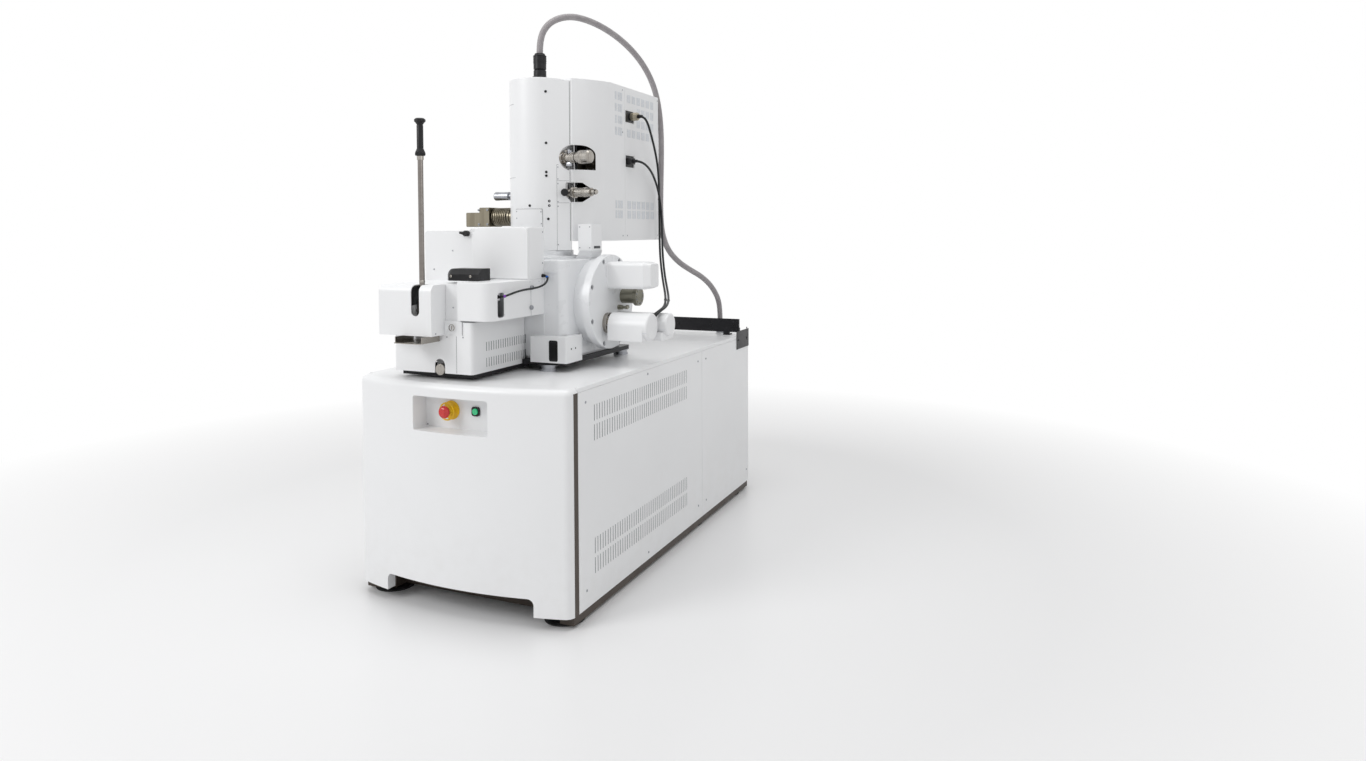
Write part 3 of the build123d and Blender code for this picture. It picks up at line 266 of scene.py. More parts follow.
def litButton(name, values):
    made = Finish(name)
    cloud = made.noise(160, 3)
    tone = made.blend(made.band(cloud, 0.35, 0.7), values["lens"], values["edge"])
    made.surface(
        Base_Color=tone,
        Roughness=made.band(cloud, 0.3, 0.7, 0.18, 0.3),
        Emission_Color=tone,
        Emission_Strength=values["glow"],
        Coat_Weight=0.6,
    )
    return made.material


colours = {
    "cover": (0.86, 0.866, 0.875),
    "chamber": (0.83, 0.842, 0.858),
    "grubby": (0.62, 0.6, 0.56),
    # vent: a darker grey, painted shade for the louvres and seam gaps
    "vent": (0.68, 0.71, 0.75),
    "frame": (0.07, 0.055, 0.045),
    "plate": (0.012, 0.012, 0.014),
    "crate": (0.3, 0.31, 0.33),
}

finishes = {
    "cover_white": paintedMetal("coverPaint", colours["cover"], colours["grubby"], 0.34, 900, 0.1),
    "chamber_white": paintedMetal("chamberPaint", colours["chamber"], colours["grubby"], 0.3, 1200, 0.15),
    "frame_brown": paintedMetal("framePaint", colours["frame"], (0.2, 0.18, 0.16), 0.42, 700),
    "plate_black": paintedMetal("blackPlate", colours["plate"], (0.05, 0.05, 0.05), 0.38, 1400),
    "crate_grey": paintedMetal("cratePaint", colours["crate"], (0.4, 0.39, 0.37), 0.45, 800),
    "pad_black": dustyRubber("padRubber", (0.012, 0.012, 0.013), (0.05, 0.048, 0.046), 0.6),
    "cable_black": dustyRubber("cableSheath", (0.01, 0.012, 0.013), (0.03, 0.032, 0.034), 0.42),
    "conduit_grey": dustyRubber("conduitSkin", (0.33, 0.31, 0.32), (0.45, 0.43, 0.43), 0.36),
    "bright_steel": turnedMetal("polishedSteel", (0.43, 0.41, 0.38), (0.29, 0.265, 0.235), 0.2, (1, 0, 0),
                                700),
    "satin_steel": turnedMetal("satinSteel", (0.43, 0.44, 0.47), (0.27, 0.275, 0.29), 0.3, (1, 0, 0)),
    "valve_brass": turnedMetal("valveBrass", (0.27, 0.245, 0.19), (0.15, 0.13, 0.095), 0.33, (1, 0, 0), 500),
    "bare_aluminium": turnedMetal("machinedAluminium", (0.72, 0.72, 0.73), (0.5, 0.5, 0.52), 0.28, (0, 1, 0)),
    "port_khaki": turnedMetal("portFinish", (0.3, 0.29, 0.235), (0.16, 0.155, 0.12), 0.34, (0, 1, 1), 500,
                              0.7),
    "knob_black": mouldedPlastic("blackMoulding", (0.008, 0.008, 0.009), (0.018, 0.018, 0.02), 0.36, 2200),
    "stop_red": mouldedPlastic("redMoulding", (0.62, 0.03, 0.028), (0.5, 0.022, 0.02), 0.22, 1800, 0.5),
    "stop_yellow": mouldedPlastic("yellowMoulding", (0.88, 0.56, 0.02), (0.78, 0.47, 0.02), 0.34, 1600, 0.2),
    "button_green": litButton("greenLens", {"lens": (0.02, 0.5, 0.2), "edge": (0, 0.26, 0.1), "glow": 0.35}),
}
# painted shade: a darker grey than the cover, standing in for the shade inside the box's louvres and in the
# detectors' seam gaps
paintedVentShade = paintedMetal("paintedVentShade", colours["vent"], colours["grubby"], 0.4, 900)
# painted shade seen through the air slots
slotShade = paintedMetal("slotShade", (0.1, 0.115, 0.125), (0.16, 0.17, 0.18), 0.7, 1600)
# painted shade: dark hairlines for the shade in the gaps between cover panels
seamShade = paintedMetal("seamShade", (0.09, 0.095, 0.1), (0.2, 0.2, 0.2), 0.6, 1600)
inletFinish = inletMetal("inletMetal", (0.6, 0.55, 0.44), (0.3, 0.26, 0.19), (0.012, 0.012, 0.014), 1.5)
uprightSteel = turnedMetal("uprightSteel", (0.25, 0.23, 0.215), (0.2, 0.18, 0.165), 0.2, (0, 0, 1), 160)
drivePlate = turnedMetal("drivePlate", (0.1, 0.088, 0.07), (0.03, 0.027, 0.022), 0.32, (0, 0, 1), 300)
purpleRing = mouldedPlastic("purpleRing", (0.22, 0.06, 0.42), (0.16, 0.04, 0.3), 0.3, 1500)
blueRing = mouldedPlastic("blueRing", (0.02, 0.13, 0.5), (0.02, 0.09, 0.36), 0.3, 1500)

nodeFinish = {
    "cover_white": "front_panel control_plate right_side_panel left_side_panel rear_housing cabinet_top "
                   "upper_detector lower_detector rear_detector chamber_skirt column_cover "
                   "column_side_plate hv_box hv_cover junction_box module_base rod_box transfer_block "
                   "transfer_cover transfer_housing",
    "chamber_white": "chamber_body chamber_flange column_plinth",
    "frame_brown": "base_frame",
    "pad_black": "levelling_feet",
    "stop_yellow": "stop_base",
    "stop_red": "stop_head",
    "button_green": "switch_button",
    "crate_grey": "power_unit",
    "plate_black": "rear_rail base_plate",
    "satin_steel": "rear_gland isolators flange_bolts lens_barrel left_aperture_knob",
    "bright_steel": "detector_collar specimen_table upper_aperture upper_aperture_knob lower_aperture "
                    "base_knob loading_tray",
    "bare_aluminium": "stage_x_slide stage_y_slide",
    "port_khaki": "blank_flange",
    "valve_brass": "gate_valve",
    "knob_black": "switch_bezel skirt_grille top_gland lower_aperture_knob rod_handle latch_block "
                  "clamp_lever",
}


def dress(node, material):
    node.data.materials.clear()
    node.data.materials.append(material)


for slotName, names in nodeFinish.items():
    for name in names.split():
        dress(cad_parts[name], finishes[slotName])
dress(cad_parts["hv_connectors"], inletFinish)
dress(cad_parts["exchange_rod"], uprightSteel)
print("finishes made")


# cords

cords = {
    "conduit": {
        "wide": 24, "length": 2.0, "stiffness": "stiff", "slot": "conduit_grey",
        "points": [
            (-55, -263, 1832), (-55, -263, 1872), (-42, -255, 1922), (-12, -232, 1958), (26, -176, 1979),
            (57, -92, 1977), (86, 10, 1957), (114, 110, 1918), (136, 200, 1862), (150, 268, 1790),
            (157, 306, 1705), (160, 322, 1600), (158, 326, 1490), (155, 326, 1380), (152, 328, 1270),
            (153, 340, 1180), (160, 384, 1108), (175, 462, 1055), (194, 548, 1018), (213, 632, 986),
            (230, 706, 942), (242, 766, 880), (244, 785, 818), (244, 785, 758),
        ],
    },
    "cable_a": {
        "wide": 8.6, "length": 1.17, "stiffness": "medium", "slot": "cable_black",
        "points": [
            (205.5, 12, 1624), (225, 12, 1624), (236, 28, 1606), (234, 62, 1566), (226, 112, 1516),
            (214, 165, 1460), (203, 203, 1395), (197, 218, 1320), (196, 222, 1240), (199, 216, 1165),
            (210, 196, 1095), (236, 152, 1036), (274, 84, 990), (320, 0, 956), (362, -88, 932),
            (390, -165, 918), (396, -225, 908), (391, -262, 896),
        ],
    },
    "cable_b": {
        "wide": 8.6, "length": 1.06, "stiffness": "medium", "slot": "cable_black",
        "points": [
            (192.5, -7, 1454), (212, -7, 1454), (225, 20, 1447), (226, 66, 1430), (219, 120, 1403),
            (210, 172, 1366), (206, 206, 1316), (206, 222, 1250), (208, 222, 1180), (216, 206, 1114),
            (236, 172, 1056), (270, 112, 1006), (314, 34, 968), (356, -48, 944), (390, -128, 930),
            (408, -190, 920), (404, -236, 908), (398, -262, 893),
        ],
    },
    "module_lead": {
        "wide": 7, "length": 0.298, "stiffness": "medium", "slot": "cable_black",
        "points": [
            (70, -722, 985), (92, -722, 985), (102, -704, 991), (105, -666, 998), (104, -618, 1002),
            (105, -566, 1003), (106, -522, 1007), (110, -495, 1018), (108, -481, 1040), (84, -481, 1040),
        ],
    },
}
conduitRibs = {"pitch": 5.4, "depth": 1.0, "sides": 18}
cableEnds = {  # place, way, radius and length of each sleeve
    "cable_a": [((206, 12, 1624), (1, 0, 0), 8, 18), ((391, -260, 898), (-0.1, -0.73, -0.68), 6.4, 5)],
    "cable_b": [((193, -7, 1454), (1, 0, 0), 8, 18), ((398, -260, 895), (-0.1, -0.75, -0.66), 6.4, 5)],
    "module_lead": [((70, -722, 985), (1, 0, 0), 6, 15), ((84, -481, 1040), (1, 0, 0), 6, 14)],
}


def routeCurve(name, points, wide):
    data = bpy.data.curves.new(name, "CURVE")
    data.dimensions = "3D"
    data.resolution_u = 16
    data.bevel_depth = wide / 2000
    data.bevel_resolution = 5
    data.use_fill_caps = True
    line = data.splines.new("NURBS")
    line.points.add(len(points) - 1)
    for point, place in zip(line.points, points):
        point.co = (*at(*place), 1)
    line.order_u = 3
    line.use_endpoint_u = True
    piece = bpy.data.objects.new(name, data)
    bpy.context.scene.collection.objects.link(piece)
    return piece


def routeLine(points, step):
    # the smooth line of a route, read back from its curve at even steps
    guide = routeCurve("guide", points, 0)
    mesh = bpy.data.meshes.new_from_object(guide)
    line = [vertex.co.copy() for vertex in mesh.vertices]
    bpy.data.objects.remove(guide)
    bpy.data.meshes.remove(mesh)
    even, spare = [line[0]], 0.0
    for first, second in zip(line, line[1:]):
        gap = (second - first).length
        while spare + gap >= step:
            first = first.lerp(second, (step - spare) / gap)
            gap = (second - first).length
            even.append(first)
            spare = 0.0
        spare += gap
    return even


def tubeAlong(bm, line, radii, sides):
    way = (line[1] - line[0]).normalized()
    across = way.orthogonal().normalized()
    rings = []
    for index, point in enumerate(line):
        after = line[min(index + 1, len(line) - 1)] - line[max(index - 1, 0)]
        across = (across - after.normalized() * across.dot(after.normalized())).normalized()
        up = after.normalized().cross(across)
        turns = [2 * math.pi * side / sides for side in range(sides)]
        reach = radii[index] / 1000
        rings.append([bm.verts.new(point + (across * math.cos(turn) + up * math.sin(turn)) * reach)
                      for turn in turns])
    for first, second in zip(rings, rings[1:]):
        for side in range(sides):
            far = (side + 1) % sides
            bm.faces.new((first[side], first[far], second[far], second[side]))
    bm.faces.new(rings[0][::-1])
    bm.faces.new(rings[-1])


def addPiece(name, bm, slotName, body="main_unit", material=None, sharp=32):
    # a finished mesh that rides on a body; its material is its slot's unless one is given
    bmesh.ops.recalc_face_normals(bm, faces=bm.faces[:])
    mesh = bpy.data.meshes.new(name)
    bm.to_mesh(mesh)
    bm.free()
    for face in mesh.polygons:
        face.use_smooth = True
    mesh.set_sharp_from_angle(angle=math.radians(sharp))
    piece = bpy.data.objects.new(name, mesh)
    bpy.context.scene.collection.objects.link(piece)
    mesh.materials.append(material or finishes[slotName])
    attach(piece, body)
    return piece


def turned(bm, base, way, profile, sides=32, shift=True):
    # a lathe shape: steps of (along, radius, shape) from base along way, in mm
    way = Vector(way).normalized()
    across = way.orthogonal().normalized()
    up = way.cross(across)
    start = at(*base) if shift else Vector(base)
    rings = []
    for along, radius, *shape in profile:
        centre = start + way * along / 1000
        if radius == 0:
            rings.append([bm.verts.new(centre)])
            continue
        ring = []
        for side in range(sides):
            turn = 2 * math.pi * side / sides
            reach = radius
            if shape == ["hex"]:
                reach = radius / math.cos((turn % (math.pi / 3)) - math.pi / 6)
            elif shape == ["ridged"]:
                reach = radius * (1 - 0.06 * (side % 2))
            ring.append(bm.verts.new(centre + (across * math.cos(turn) + up * math.sin(turn)) * reach / 1000))
        rings.append(ring)
    for first, second in zip(rings, rings[1:]):
        for side in range(sides):
            far = (side + 1) % sides
            corners = [first[side % len(first)], first[far % len(first)],
                       second[far % len(second)], second[side % len(second)]]
            corners = list(dict.fromkeys(corners))
            if len(corners) > 2:
                bm.faces.new(corners)


def block(bm, low, high, soften):
    # a box with softened edges between two corners, in mm
    made = bmesh.ops.create_cube(bm, size=1)
    size = [top - bottom for bottom, top in zip(low, high)]
    middle = at(*[(bottom + top) / 2 for bottom, top in zip(low, high)])
    grow = Matrix.Diagonal((*[side / 1000 for side in size], 1))
    bmesh.ops.transform(bm, matrix=Matrix.Translation(middle) @ grow, verts=made["verts"])
    if soften:
        edges = list({edge for vert in made["verts"] for edge in vert.link_edges})
        bmesh.ops.bevel(bm, geom=edges, offset=soften / 1000, segments=2, affect="EDGES", profile=0.5)


def sheetMetal(bm, plan, low, high):
    # an upright plate: plan is its outline in mm, closed
    bottom = [bm.verts.new(at(x, y, low)) for x, y in plan]
    top = [bm.verts.new(at(x, y, high)) for x, y in plan]
    bm.faces.new(bottom[::-1])
    bm.faces.new(top)
    for index in range(len(plan)):
        far = (index + 1) % len(plan)
        bm.faces.new((bottom[index], bottom[far], top[far], top[index]))


def onColumn(angle, distance, z):
    turn = math.radians(angle)
    x = columnAxis[0] + math.cos(turn) * distance
    return (x, columnAxis[1] + math.sin(turn) * distance, z)


def outward(angle):
    return (math.cos(math.radians(angle)), math.sin(math.radians(angle)), 0)


def makeConduit(values, ribs):
    step = ribs["pitch"] / 3000
    line = routeLine(values["points"], step)
    outer = values["wide"] / 2
    radii = [outer if index % 3 else outer - ribs["depth"] for index in range(len(line))]
    bm = bmesh.new()
    tubeAlong(bm, line, radii, ribs["sides"])
    piece = addPiece("conduit_line", bm, values["slot"], sharp=70)
    line[::4] + [line[-1]]
    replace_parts(piece, "conduit")


def strainRelief(bm, base, way, wide, long):
    # tapered sleeve with three grooves
    steps = [(-3, 0), (-3, wide)]
    for groove in range(3):
        along = long * (0.25 + groove * 0.2)
        reach = wide * (1 - 0.12 * groove)
        steps += [(along - 1.4, reach), (along - 0.9, reach * 0.8), (along, reach * 0.8),
                  (along + 0.4, reach * 0.96)]
    steps += [(long, wide * 0.62), (long, 0)]
    turned(bm, base, way, steps, 24)


def makeCable(name, values, ends):
    piece = routeCurve(name + "_line", values["points"], values["wide"])
    piece.data.materials.append(finishes[values["slot"]])
    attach(piece, "main_unit")
    bm = bmesh.new()
    for base, way, wide, long in ends:
        strainRelief(bm, base, way, wide, long)
    sleeves = addPiece(name + "_sleeves", bm, "knob_black")
    tuple(at(*values["points"][0]))
    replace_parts(piece, name)


makeConduit(cords["conduit"], conduitRibs)
for name, ends in cableEnds.items():
    makeCable(name, cords[name], ends)
print("cords laid")


# small parts that only the picture shows

right, front, left, rear, up = (1, 0, 0), (0, -1, 0), (-1, 0, 0), (0, 1, 0), (0, 0, 1)
screwShape = {"sunk": 0.6, "crown": 0.86, "socket": 0.5, "deep": 0.45}


def screw(bm, base, way, radius, tall, shape=screwShape):
    socket = radius * shape["socket"]
    turned(bm, base, way, [
        (-shape["sunk"], 0), (-shape["sunk"], radius), (tall * 0.8, radius), (tall, radius * shape["crown"]),
        (tall, socket, "hex"), (tall * shape["deep"], socket, "hex"), (tall * shape["deep"], 0),
    ], 24)


def screws(name, rows, slotName="satin_steel"):
    bm = bmesh.new()
    for base, way, radius, tall in rows:
        screw(bm, base, way, radius, tall)
    addPiece(name, bm, slotName)


def boltCircle(centre, reach, count, first, radius, tall):
    # bolts that face right, round a centre; reach is the circle's radius in y and in z
    x, y, z = centre
    turns = [math.radians(first + 360 / count * bolt) for bolt in range(count)]
    return [((x, y + reach[0] * math.cos(turn), z + reach[1] * math.sin(turn)), right, radius, tall)
            for turn in turns]


def ridges(radius, start, end):
    # profile of a knurled ring
    foot = radius * 0.93
    return [(start, 0), (start, foot), (start + 0.8, radius, "ridged"), (end - 0.8, radius, "ridged"),
            (end, foot), (end, 0)]


def collar(start, end, inner, outer):
    return [(start, inner), (start, outer), (end, outer), (end, inner)]


def lathePiece(name, base, way, shapes, slotName, body="main_unit", material=None):
    # several lathe shapes on one axis: shapes are rows of (profile, sides)
    bm = bmesh.new()
    for profile, sides in shapes:
        turned(bm, base, way, profile, sides)
    addPiece(name, bm, slotName, body, material)


def blocksPiece(name, blocks, slotName, material=None):
    bm = bmesh.new()
    for low, high, soften in blocks:
        block(bm, low, high, soften)
    addPiece(name, bm, slotName, material=material)


def spanOf(node):
    # a node's lowest and highest corners in mm, measured as at() measures
    low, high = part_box(node)
    shift = Vector((0, centreShift, 0))
    return low * 1000 - shift, high * 1000 - shift


# column: black plugs, patch plate and seams

columnTrim = {
    "plugs": [(-48, 1680), (-48, 1500), (-48, 1398), (-48, 1385), (-43, 1296), (-43, 1280), (-79, 1280),
              (-45, 1233)],
    "plug": {"radius": 4.6, "tall": 1.3, "seat": -0.2, "flatSeat": 0.7, "flatFrom": -51},
    "patch": {"from": -111, "to": -56, "low": 1121.5, "top": 1268, "corner": 6},
    "patchSeats": {"inner": 0.1, "outer": 1.3, "screw": 1.2, "seam": 1.4},
    "patchScrews": [(-108.5, 1260), (-108.5, 1236), (-58.5, 1258), (-57.7, 1216), (-57.7, 1150),
                    (-108.5, 1140)],
    "seams": [(-200, -112, 1380), (-200, -116, 1640)],
}


def curvedPlate(bm, start, end, low, high, inner, outer, corner=0.0):
    # a plate bent round the column between two angles; inner and outer are heights over its skin
    steps = 24
    rows = []
    for step in range(steps + 1):
        angle = start + (end - start) * step / steps
        edge = min(step, steps - step) / steps * abs(end - start)
        drop = corner * max(0, 1 - edge / 2.6) ** 2 * 2.6
        corners = ((inner, low), (outer, low), (outer, high - drop), (inner, high - drop))
        rows.append([bm.verts.new(at(*onColumn(angle, columnRadius + reach, z))) for reach, z in corners])
    for first, second in zip(rows, rows[1:]):
        for here in range(4):
            after = (here + 1) % 4
            bm.faces.new((first[here], first[after], second[after], second[here]))
    bm.faces.new(rows[0][::-1])
    bm.faces.new(rows[-1])


def makeColumnTrim(values):
    plug = values["plug"]
    rows = []
    for angle, z in values["plugs"]:
        seat = plug["flatSeat"] if plug["flatFrom"] < angle < 0 else plug["seat"]
        rows.append((onColumn(angle, columnRadius + seat, z), outward(angle), plug["radius"], plug["tall"]))
    screws("column_plugs", rows, "knob_black")
    start, end, low, top, corner = values["patch"].values()
    seats = values["patchSeats"]
    bm = bmesh.new()
    curvedPlate(bm, start, end, low, top, seats["inner"], seats["outer"], corner)
    addPiece("column_patch", bm, "cover_white")
    screws("patch_screws", [(onColumn(angle, columnRadius + seats["screw"], z), outward(angle), 2.2, 1.0)
                            for angle, z in values["patchScrews"]])
    # dark seam strips: painted shade in the gaps round the patch plate and between the column's cover rings
    bm = bmesh.new()
    curvedPlate(bm, start, end, top - 0.2, top + 0.7, -0.2, seats["seam"])
    curvedPlate(bm, end, end + 0.5, low, top, -0.2, seats["seam"])
    for first, last, z in values["seams"]:
        curvedPlate(bm, first, last, z - 0.4, z + 0.4, -0.2, 0.15)
    addPiece("column_seams", bm, "cover_white", material=seamShade)


makeColumnTrim(columnTrim)


# top gland: silver foot ring and a ridged nut

glandTrim = {
    "ringFoot": 1730,
    "ring": [(0.1, 24), (0.1, 34), (3.2, 34), (4.4, 32.5), (4.4, 24), (0.1, 24)],
    "nutFoot": 1735,
    "nut": [(0, 20), (0, 24.5, "hex"), (13, 24.5, "hex"), (15, 23.4), (15, 20)],
    "ribs": (62, 68, 74, 80, 86),
}


def makeGlandTrim(values):
    lathePiece("gland_ring", (*columnAxis, values["ringFoot"]), up, [(values["ring"], 48)], "bright_steel")
    shapes = [(values["nut"], 48)]
    shapes += [([(low, 21), (low + 0.6, 24), (low + 3, 24), (low + 3.6, 21)], 48) for low in values["ribs"]]
    lathePiece("gland_nut", (*columnAxis, values["nutFoot"]), up, shapes, "knob_black")


makeGlandTrim(glandTrim)
print("column dressed")


# openings of the aperture drives: dark liner with plates and bolts behind them

driveBays = {"upper_bay": (1400, 1502), "lower_bay": (1286, 1370)}
bayShape = {
    "plan": [(62, -276), (76, -283), (100, -260), (121, -236), (138, -213), (150, -190), (150, -176),
             (80, -176), (64, -205)],
    "wall": [(64, -205), (80, -176), (150, -176), (151.5, -190), (139, -214), (138, -213), (150, -190),
             (148.5, -178), (81, -178), (65.5, -206)],
    "sheet": 1.5,
    "back": -178,
    "bolts": {"x": (92, 116, 138), "inset": 14, "radius": 3.4, "tall": 3.2},
}


def makeDriveBay(name, low, high, shape):
    sheet, back, bolts = shape["sheet"], shape["back"], shape["bolts"]
    bm = bmesh.new()
    sheetMetal(bm, shape["plan"], low, low + sheet)
    sheetMetal(bm, shape["plan"], high - sheet, high)
    sheetMetal(bm, shape["wall"], low + sheet, high - sheet)
    for shelf in range(3):
        z = low + (high - low) * (0.3 + 0.22 * shelf)
        block(bm, (82, back - 18 + shelf * 4, z), (140 - shelf * 9, back, z + 5), 0.8)
    addPiece(name + "_liner", bm, "plate_black", material=drivePlate)
    screws(name + "_bolts", [((x, back, z), front, bolts["radius"], bolts["tall"]) for x in bolts["x"]
                             for z in (low + bolts["inset"], high - bolts["inset"])])


for name, (low, high) in driveBays.items():
    makeDriveBay(name, low, high, bayShape)


# aperture drives: knurled rings, clamp screws and micrometer heads

upperDrive = {
    "angle": -12,
    "z": 1449,
    "rings": [
        (ridges(30.2, 111, 121), 96),
        ([(124.4, 17), (124.4, 21.5), (128, 22.5), (131, 22.5), (132, 20), (132, 17)], 48),
        ([(150, 17), (150, 19.4), (158, 19.4), (159, 18), (159, 17)], 48),
    ],
    "bolts": {"count": 8, "first": 22, "reach": 25.5, "along": 124},
    "posts": [(138, 13), (146, 9)],
    "clamp": {"along": 141, "drop": 22, "below": (10, 8, 8), "above": (10, 8, 6)},
    "grip": [
        (ridges(23.8, 194, 209), 84),
        (ridges(15.8, 177, 186), 60),
        ([(235, 0), (235, 12, "hex"), (240.6, 12, "hex"), (241.6, 10.5), (241.6, 0)], 48),
    ],
}
lowerDrive = {
    "angle": -10,
    "z": 1326,
    "rings": [
        (ridges(20.2, 152, 162), 60),
        ([(200, 14), (200, 16.4), (203, 17.2), (212, 17.2), (214, 15), (214, 14)], 48),
        (collar(176, 179, 14.5, 15.7), 48),
        (collar(184, 187, 14.5, 15.7), 48),
        (collar(192, 195, 14.5, 15.7), 48),
        ([(255, 0), (255, 7.5, "hex"), (259, 7.5, "hex"), (260, 6.4), (260, 0)], 24),
    ],
    "knob": {"seat": 118, "turn": -55, "shape": (ridges(13.6, 38, 48), 60)},
}


def makeUpperDrive(values):
    angle, z = values["angle"], values["z"]
    way = outward(angle)
    base = onColumn(angle, 0, z)
    lathePiece("upper_drive_rings", base, way, values["rings"], "bright_steel")
    side = Vector(way).cross(Vector(up))
    bolts = values["bolts"]
    rows = []
    for bolt in range(bolts["count"]):
        spread = math.radians(bolt * 360 / bolts["count"] + bolts["first"])
        shift = (side * math.cos(spread) + Vector(up) * math.sin(spread)) * bolts["reach"]
        rows.append((tuple(Vector(onColumn(angle, bolts["along"], z)) + shift), way, 2.3, 2.2))
    screws("upper_drive_bolts", rows)
    bm = bmesh.new()
    for along, tall in values["posts"]:
        neck = tall * 0.6
        turned(bm, onColumn(angle, along, z + 16), up,
               [(0, 0), (0, 4.4), (neck, 4.4), (neck, 5.2, "ridged"), (tall, 5.2, "ridged"), (tall, 0)], 24)
    clamp = values["clamp"]
    seat = Vector(onColumn(angle, clamp["along"], z - clamp["drop"]))
    block(bm, seat - Vector(clamp["below"]), seat + Vector(clamp["above"]), 1.2)
    addPiece("upper_drive_posts", bm, "satin_steel")
    lathePiece("upper_knob_grip", base, way, values["grip"], "bright_steel", "upper_drive")


def makeLowerDrive(values):
    angle, z, knob = values["angle"], values["z"], values["knob"]
    lathePiece("lower_drive_rings", onColumn(angle, 0, z), outward(angle), values["rings"], "bright_steel")
    lathePiece("lower_knob_grip", onColumn(angle, knob["seat"], z), outward(angle + knob["turn"]),
               [knob["shape"]], "knob_black", "lower_drive")


makeUpperDrive(upperDrive)
makeLowerDrive(lowerDrive)


# left drive's knob and gate valve

leftTrim = {"rings": (4, 9, 14), "boltsAlong": (62, 100), "boltInset": 9}


def makeLeftSide(values):
    low, high = spanOf("left_aperture_knob")
    rings = [(collar(along, along + 2.6, 14, 15.9), 48) for along in values["rings"]]
    lathePiece("left_knob_rings", (low.x, (low.y + high.y) / 2, (low.z + high.z) / 2), right, rings,
               "satin_steel", "left_drive")
    low, high = spanOf("gate_valve")
    inset = values["boltInset"]
    screws("valve_bolts", [((low.x + along, low.y, z), front, 4.2, 3.6)
                           for z in (low.z + inset, high.z - inset) for along in values["boltsAlong"]])


makeLeftSide(leftTrim)
print("drives dressed")


# high-voltage box: louvred vents, seam screws, inlet trims

highVoltage = {
    "face": 175.5,
    "upperRows": [1690, 1647, 1603, 1560],
    "lowerRows": [1289, 1252],
    "tall": 15,
    "frontColumns": [(-119, -108), (-97, -84), (-78, -64)],
    "rearColumns": [(-21, 5), (20, 46), (61, 87), (102, 128), (143, 169), (184, 210)],
    "inletSpace": {"y": (-46, 44), "z": (1588, 1656)},
    "screws": [(-60, 1559), (-62, 1172), (-60, 1716), (-25, 1172), (250, 1172), (250, 1716)],
    "inletFrames": {"x": (175.2, 176.6), "y": (-40, 38), "z": [(1598, 1646), (1429, 1477)], "wide": 2},
    "inlet": (0, 12, 1624),
    "inletNut": [
        (ridges(15.4, 183, 193), 60),
        ([(193, 11), (193, 13.2, "hex"), (203, 13.2, "hex"), (204, 11.8), (204, 8)], 48),
    ],
}


def closedPrism(bm, near, far):
    # two equal outlines in mm, joined by sides; returns the near outline's points
    first = [bm.verts.new(at(*point)) for point in near]
    second = [bm.verts.new(at(*point)) for point in far]
    bm.faces.new(first[::-1])
    bm.faces.new(second)
    for index in range(len(first)):
        after = (index + 1) % len(first)
        bm.faces.new((first[index], first[after], second[after], second[index]))
    return first


def louvre(bm, x, y0, y1, low, high):
    # frame strips round the vent, with slanted blades between them
    block(bm, (x - 0.3, y0, low), (x + 0.5, y0 + 1, high), 0)
    block(bm, (x - 0.3, y1 - 1, low), (x + 0.5, y1, high), 0)
    blades = int((high - low) / 5)
    for blade in range(blades):
        z = low + (high - low) * blade / blades
        corners = [(x - 0.3, z), (x + 1.0, z + 0.4), (x - 0.3, z + 4.2)]
        closedPrism(bm, [(a, y0, b) for a, b in corners], [(a, y1, b) for a, b in corners])


def makeVents(values):
    bm = bmesh.new()
    half = values["tall"]
    space = values["inletSpace"]
    for z in values["upperRows"] + values["lowerRows"]:
        for y0, y1 in values["frontColumns"] + values["rearColumns"]:
            if y0 < space["y"][1] and y1 > space["y"][0] and space["z"][0] < z < space["z"][1]:
                continue
            louvre(bm, values["face"], y0, y1, z - half, z + half)
    # the louvres are painted darker for the shade in them
    addPiece("box_vents", bm, "cover_white", material=paintedVentShade)
    rows = [((values["face"], y, z), right, 2.6, 1.1) for y, z in values["screws"]]
    rows += [((-225, y, z), left, 2.6, 1.1) for y in (-60, 20, 250) for z in (1172, 1716)]
    rows += [((x, 267, z), rear, 2.6, 1.1) for x in (-205, 155) for z in (1172, 1440, 1716)]
    screws("box_screws", rows)
    frames = values["inletFrames"]
    (x0, x1), (y0, y1), wide = frames["x"], frames["y"], frames["wide"]
    blocks = []
    for low, high in frames["z"]:
        blocks += [((x0, y0, z), (x1, y1, z + wide), 0.3) for z in (low, high - wide)]
        blocks += [((x0, y, low), (x1, y + wide, high), 0.3) for y in (y0, y1 - wide)]
    blocksPiece("inlet_frames", blocks, "cover_white")
    lathePiece("inlet_nut", values["inlet"], right, values["inletNut"], "valve_brass", material=inletFinish)
    screws("inlet_screws", [((172.3, y, z), right, 2.4, 1.6) for y in (-34, 32) for z in (1604, 1640)])


makeVents(highVoltage)


# front half of the high-voltage box: its near edge stands just clear of the column's side plate

boxFront = {
    "arc": [(175.5, -155), (166.5, -176), (156, -198), (144.5, -219), (132, -239), (118.5, -258),
            (105, -274.5), (91, -289)],
    "innerArc": [(172.5, -153.5), (163.6, -174.5), (153.2, -196.4), (141.8, -217.2), (129.4, -237),
                 (116, -255.8), (102.6, -272.2), (90.4, -285.4)],
    "turns": (-10.5, 141),
    "innerTurns": (-9, 139),
    "wall": 3,
    "gap": 2,
    "seam": -42.4,
    "face": 175.5,
    "left": (-225, -125),
    "low": 1154,
    "high": 1730,
    "inner": 52,
    "window": {"right": 146, "low": 1408, "high": 1495, "round": 34},
    "slot": {"right": 134, "low": 1293, "high": 1362, "cut": 18},
    "cutDepth": (-330, -182),
    "leg": ((-200, -118, 1092.3), (-120, -62, 1157)),
}


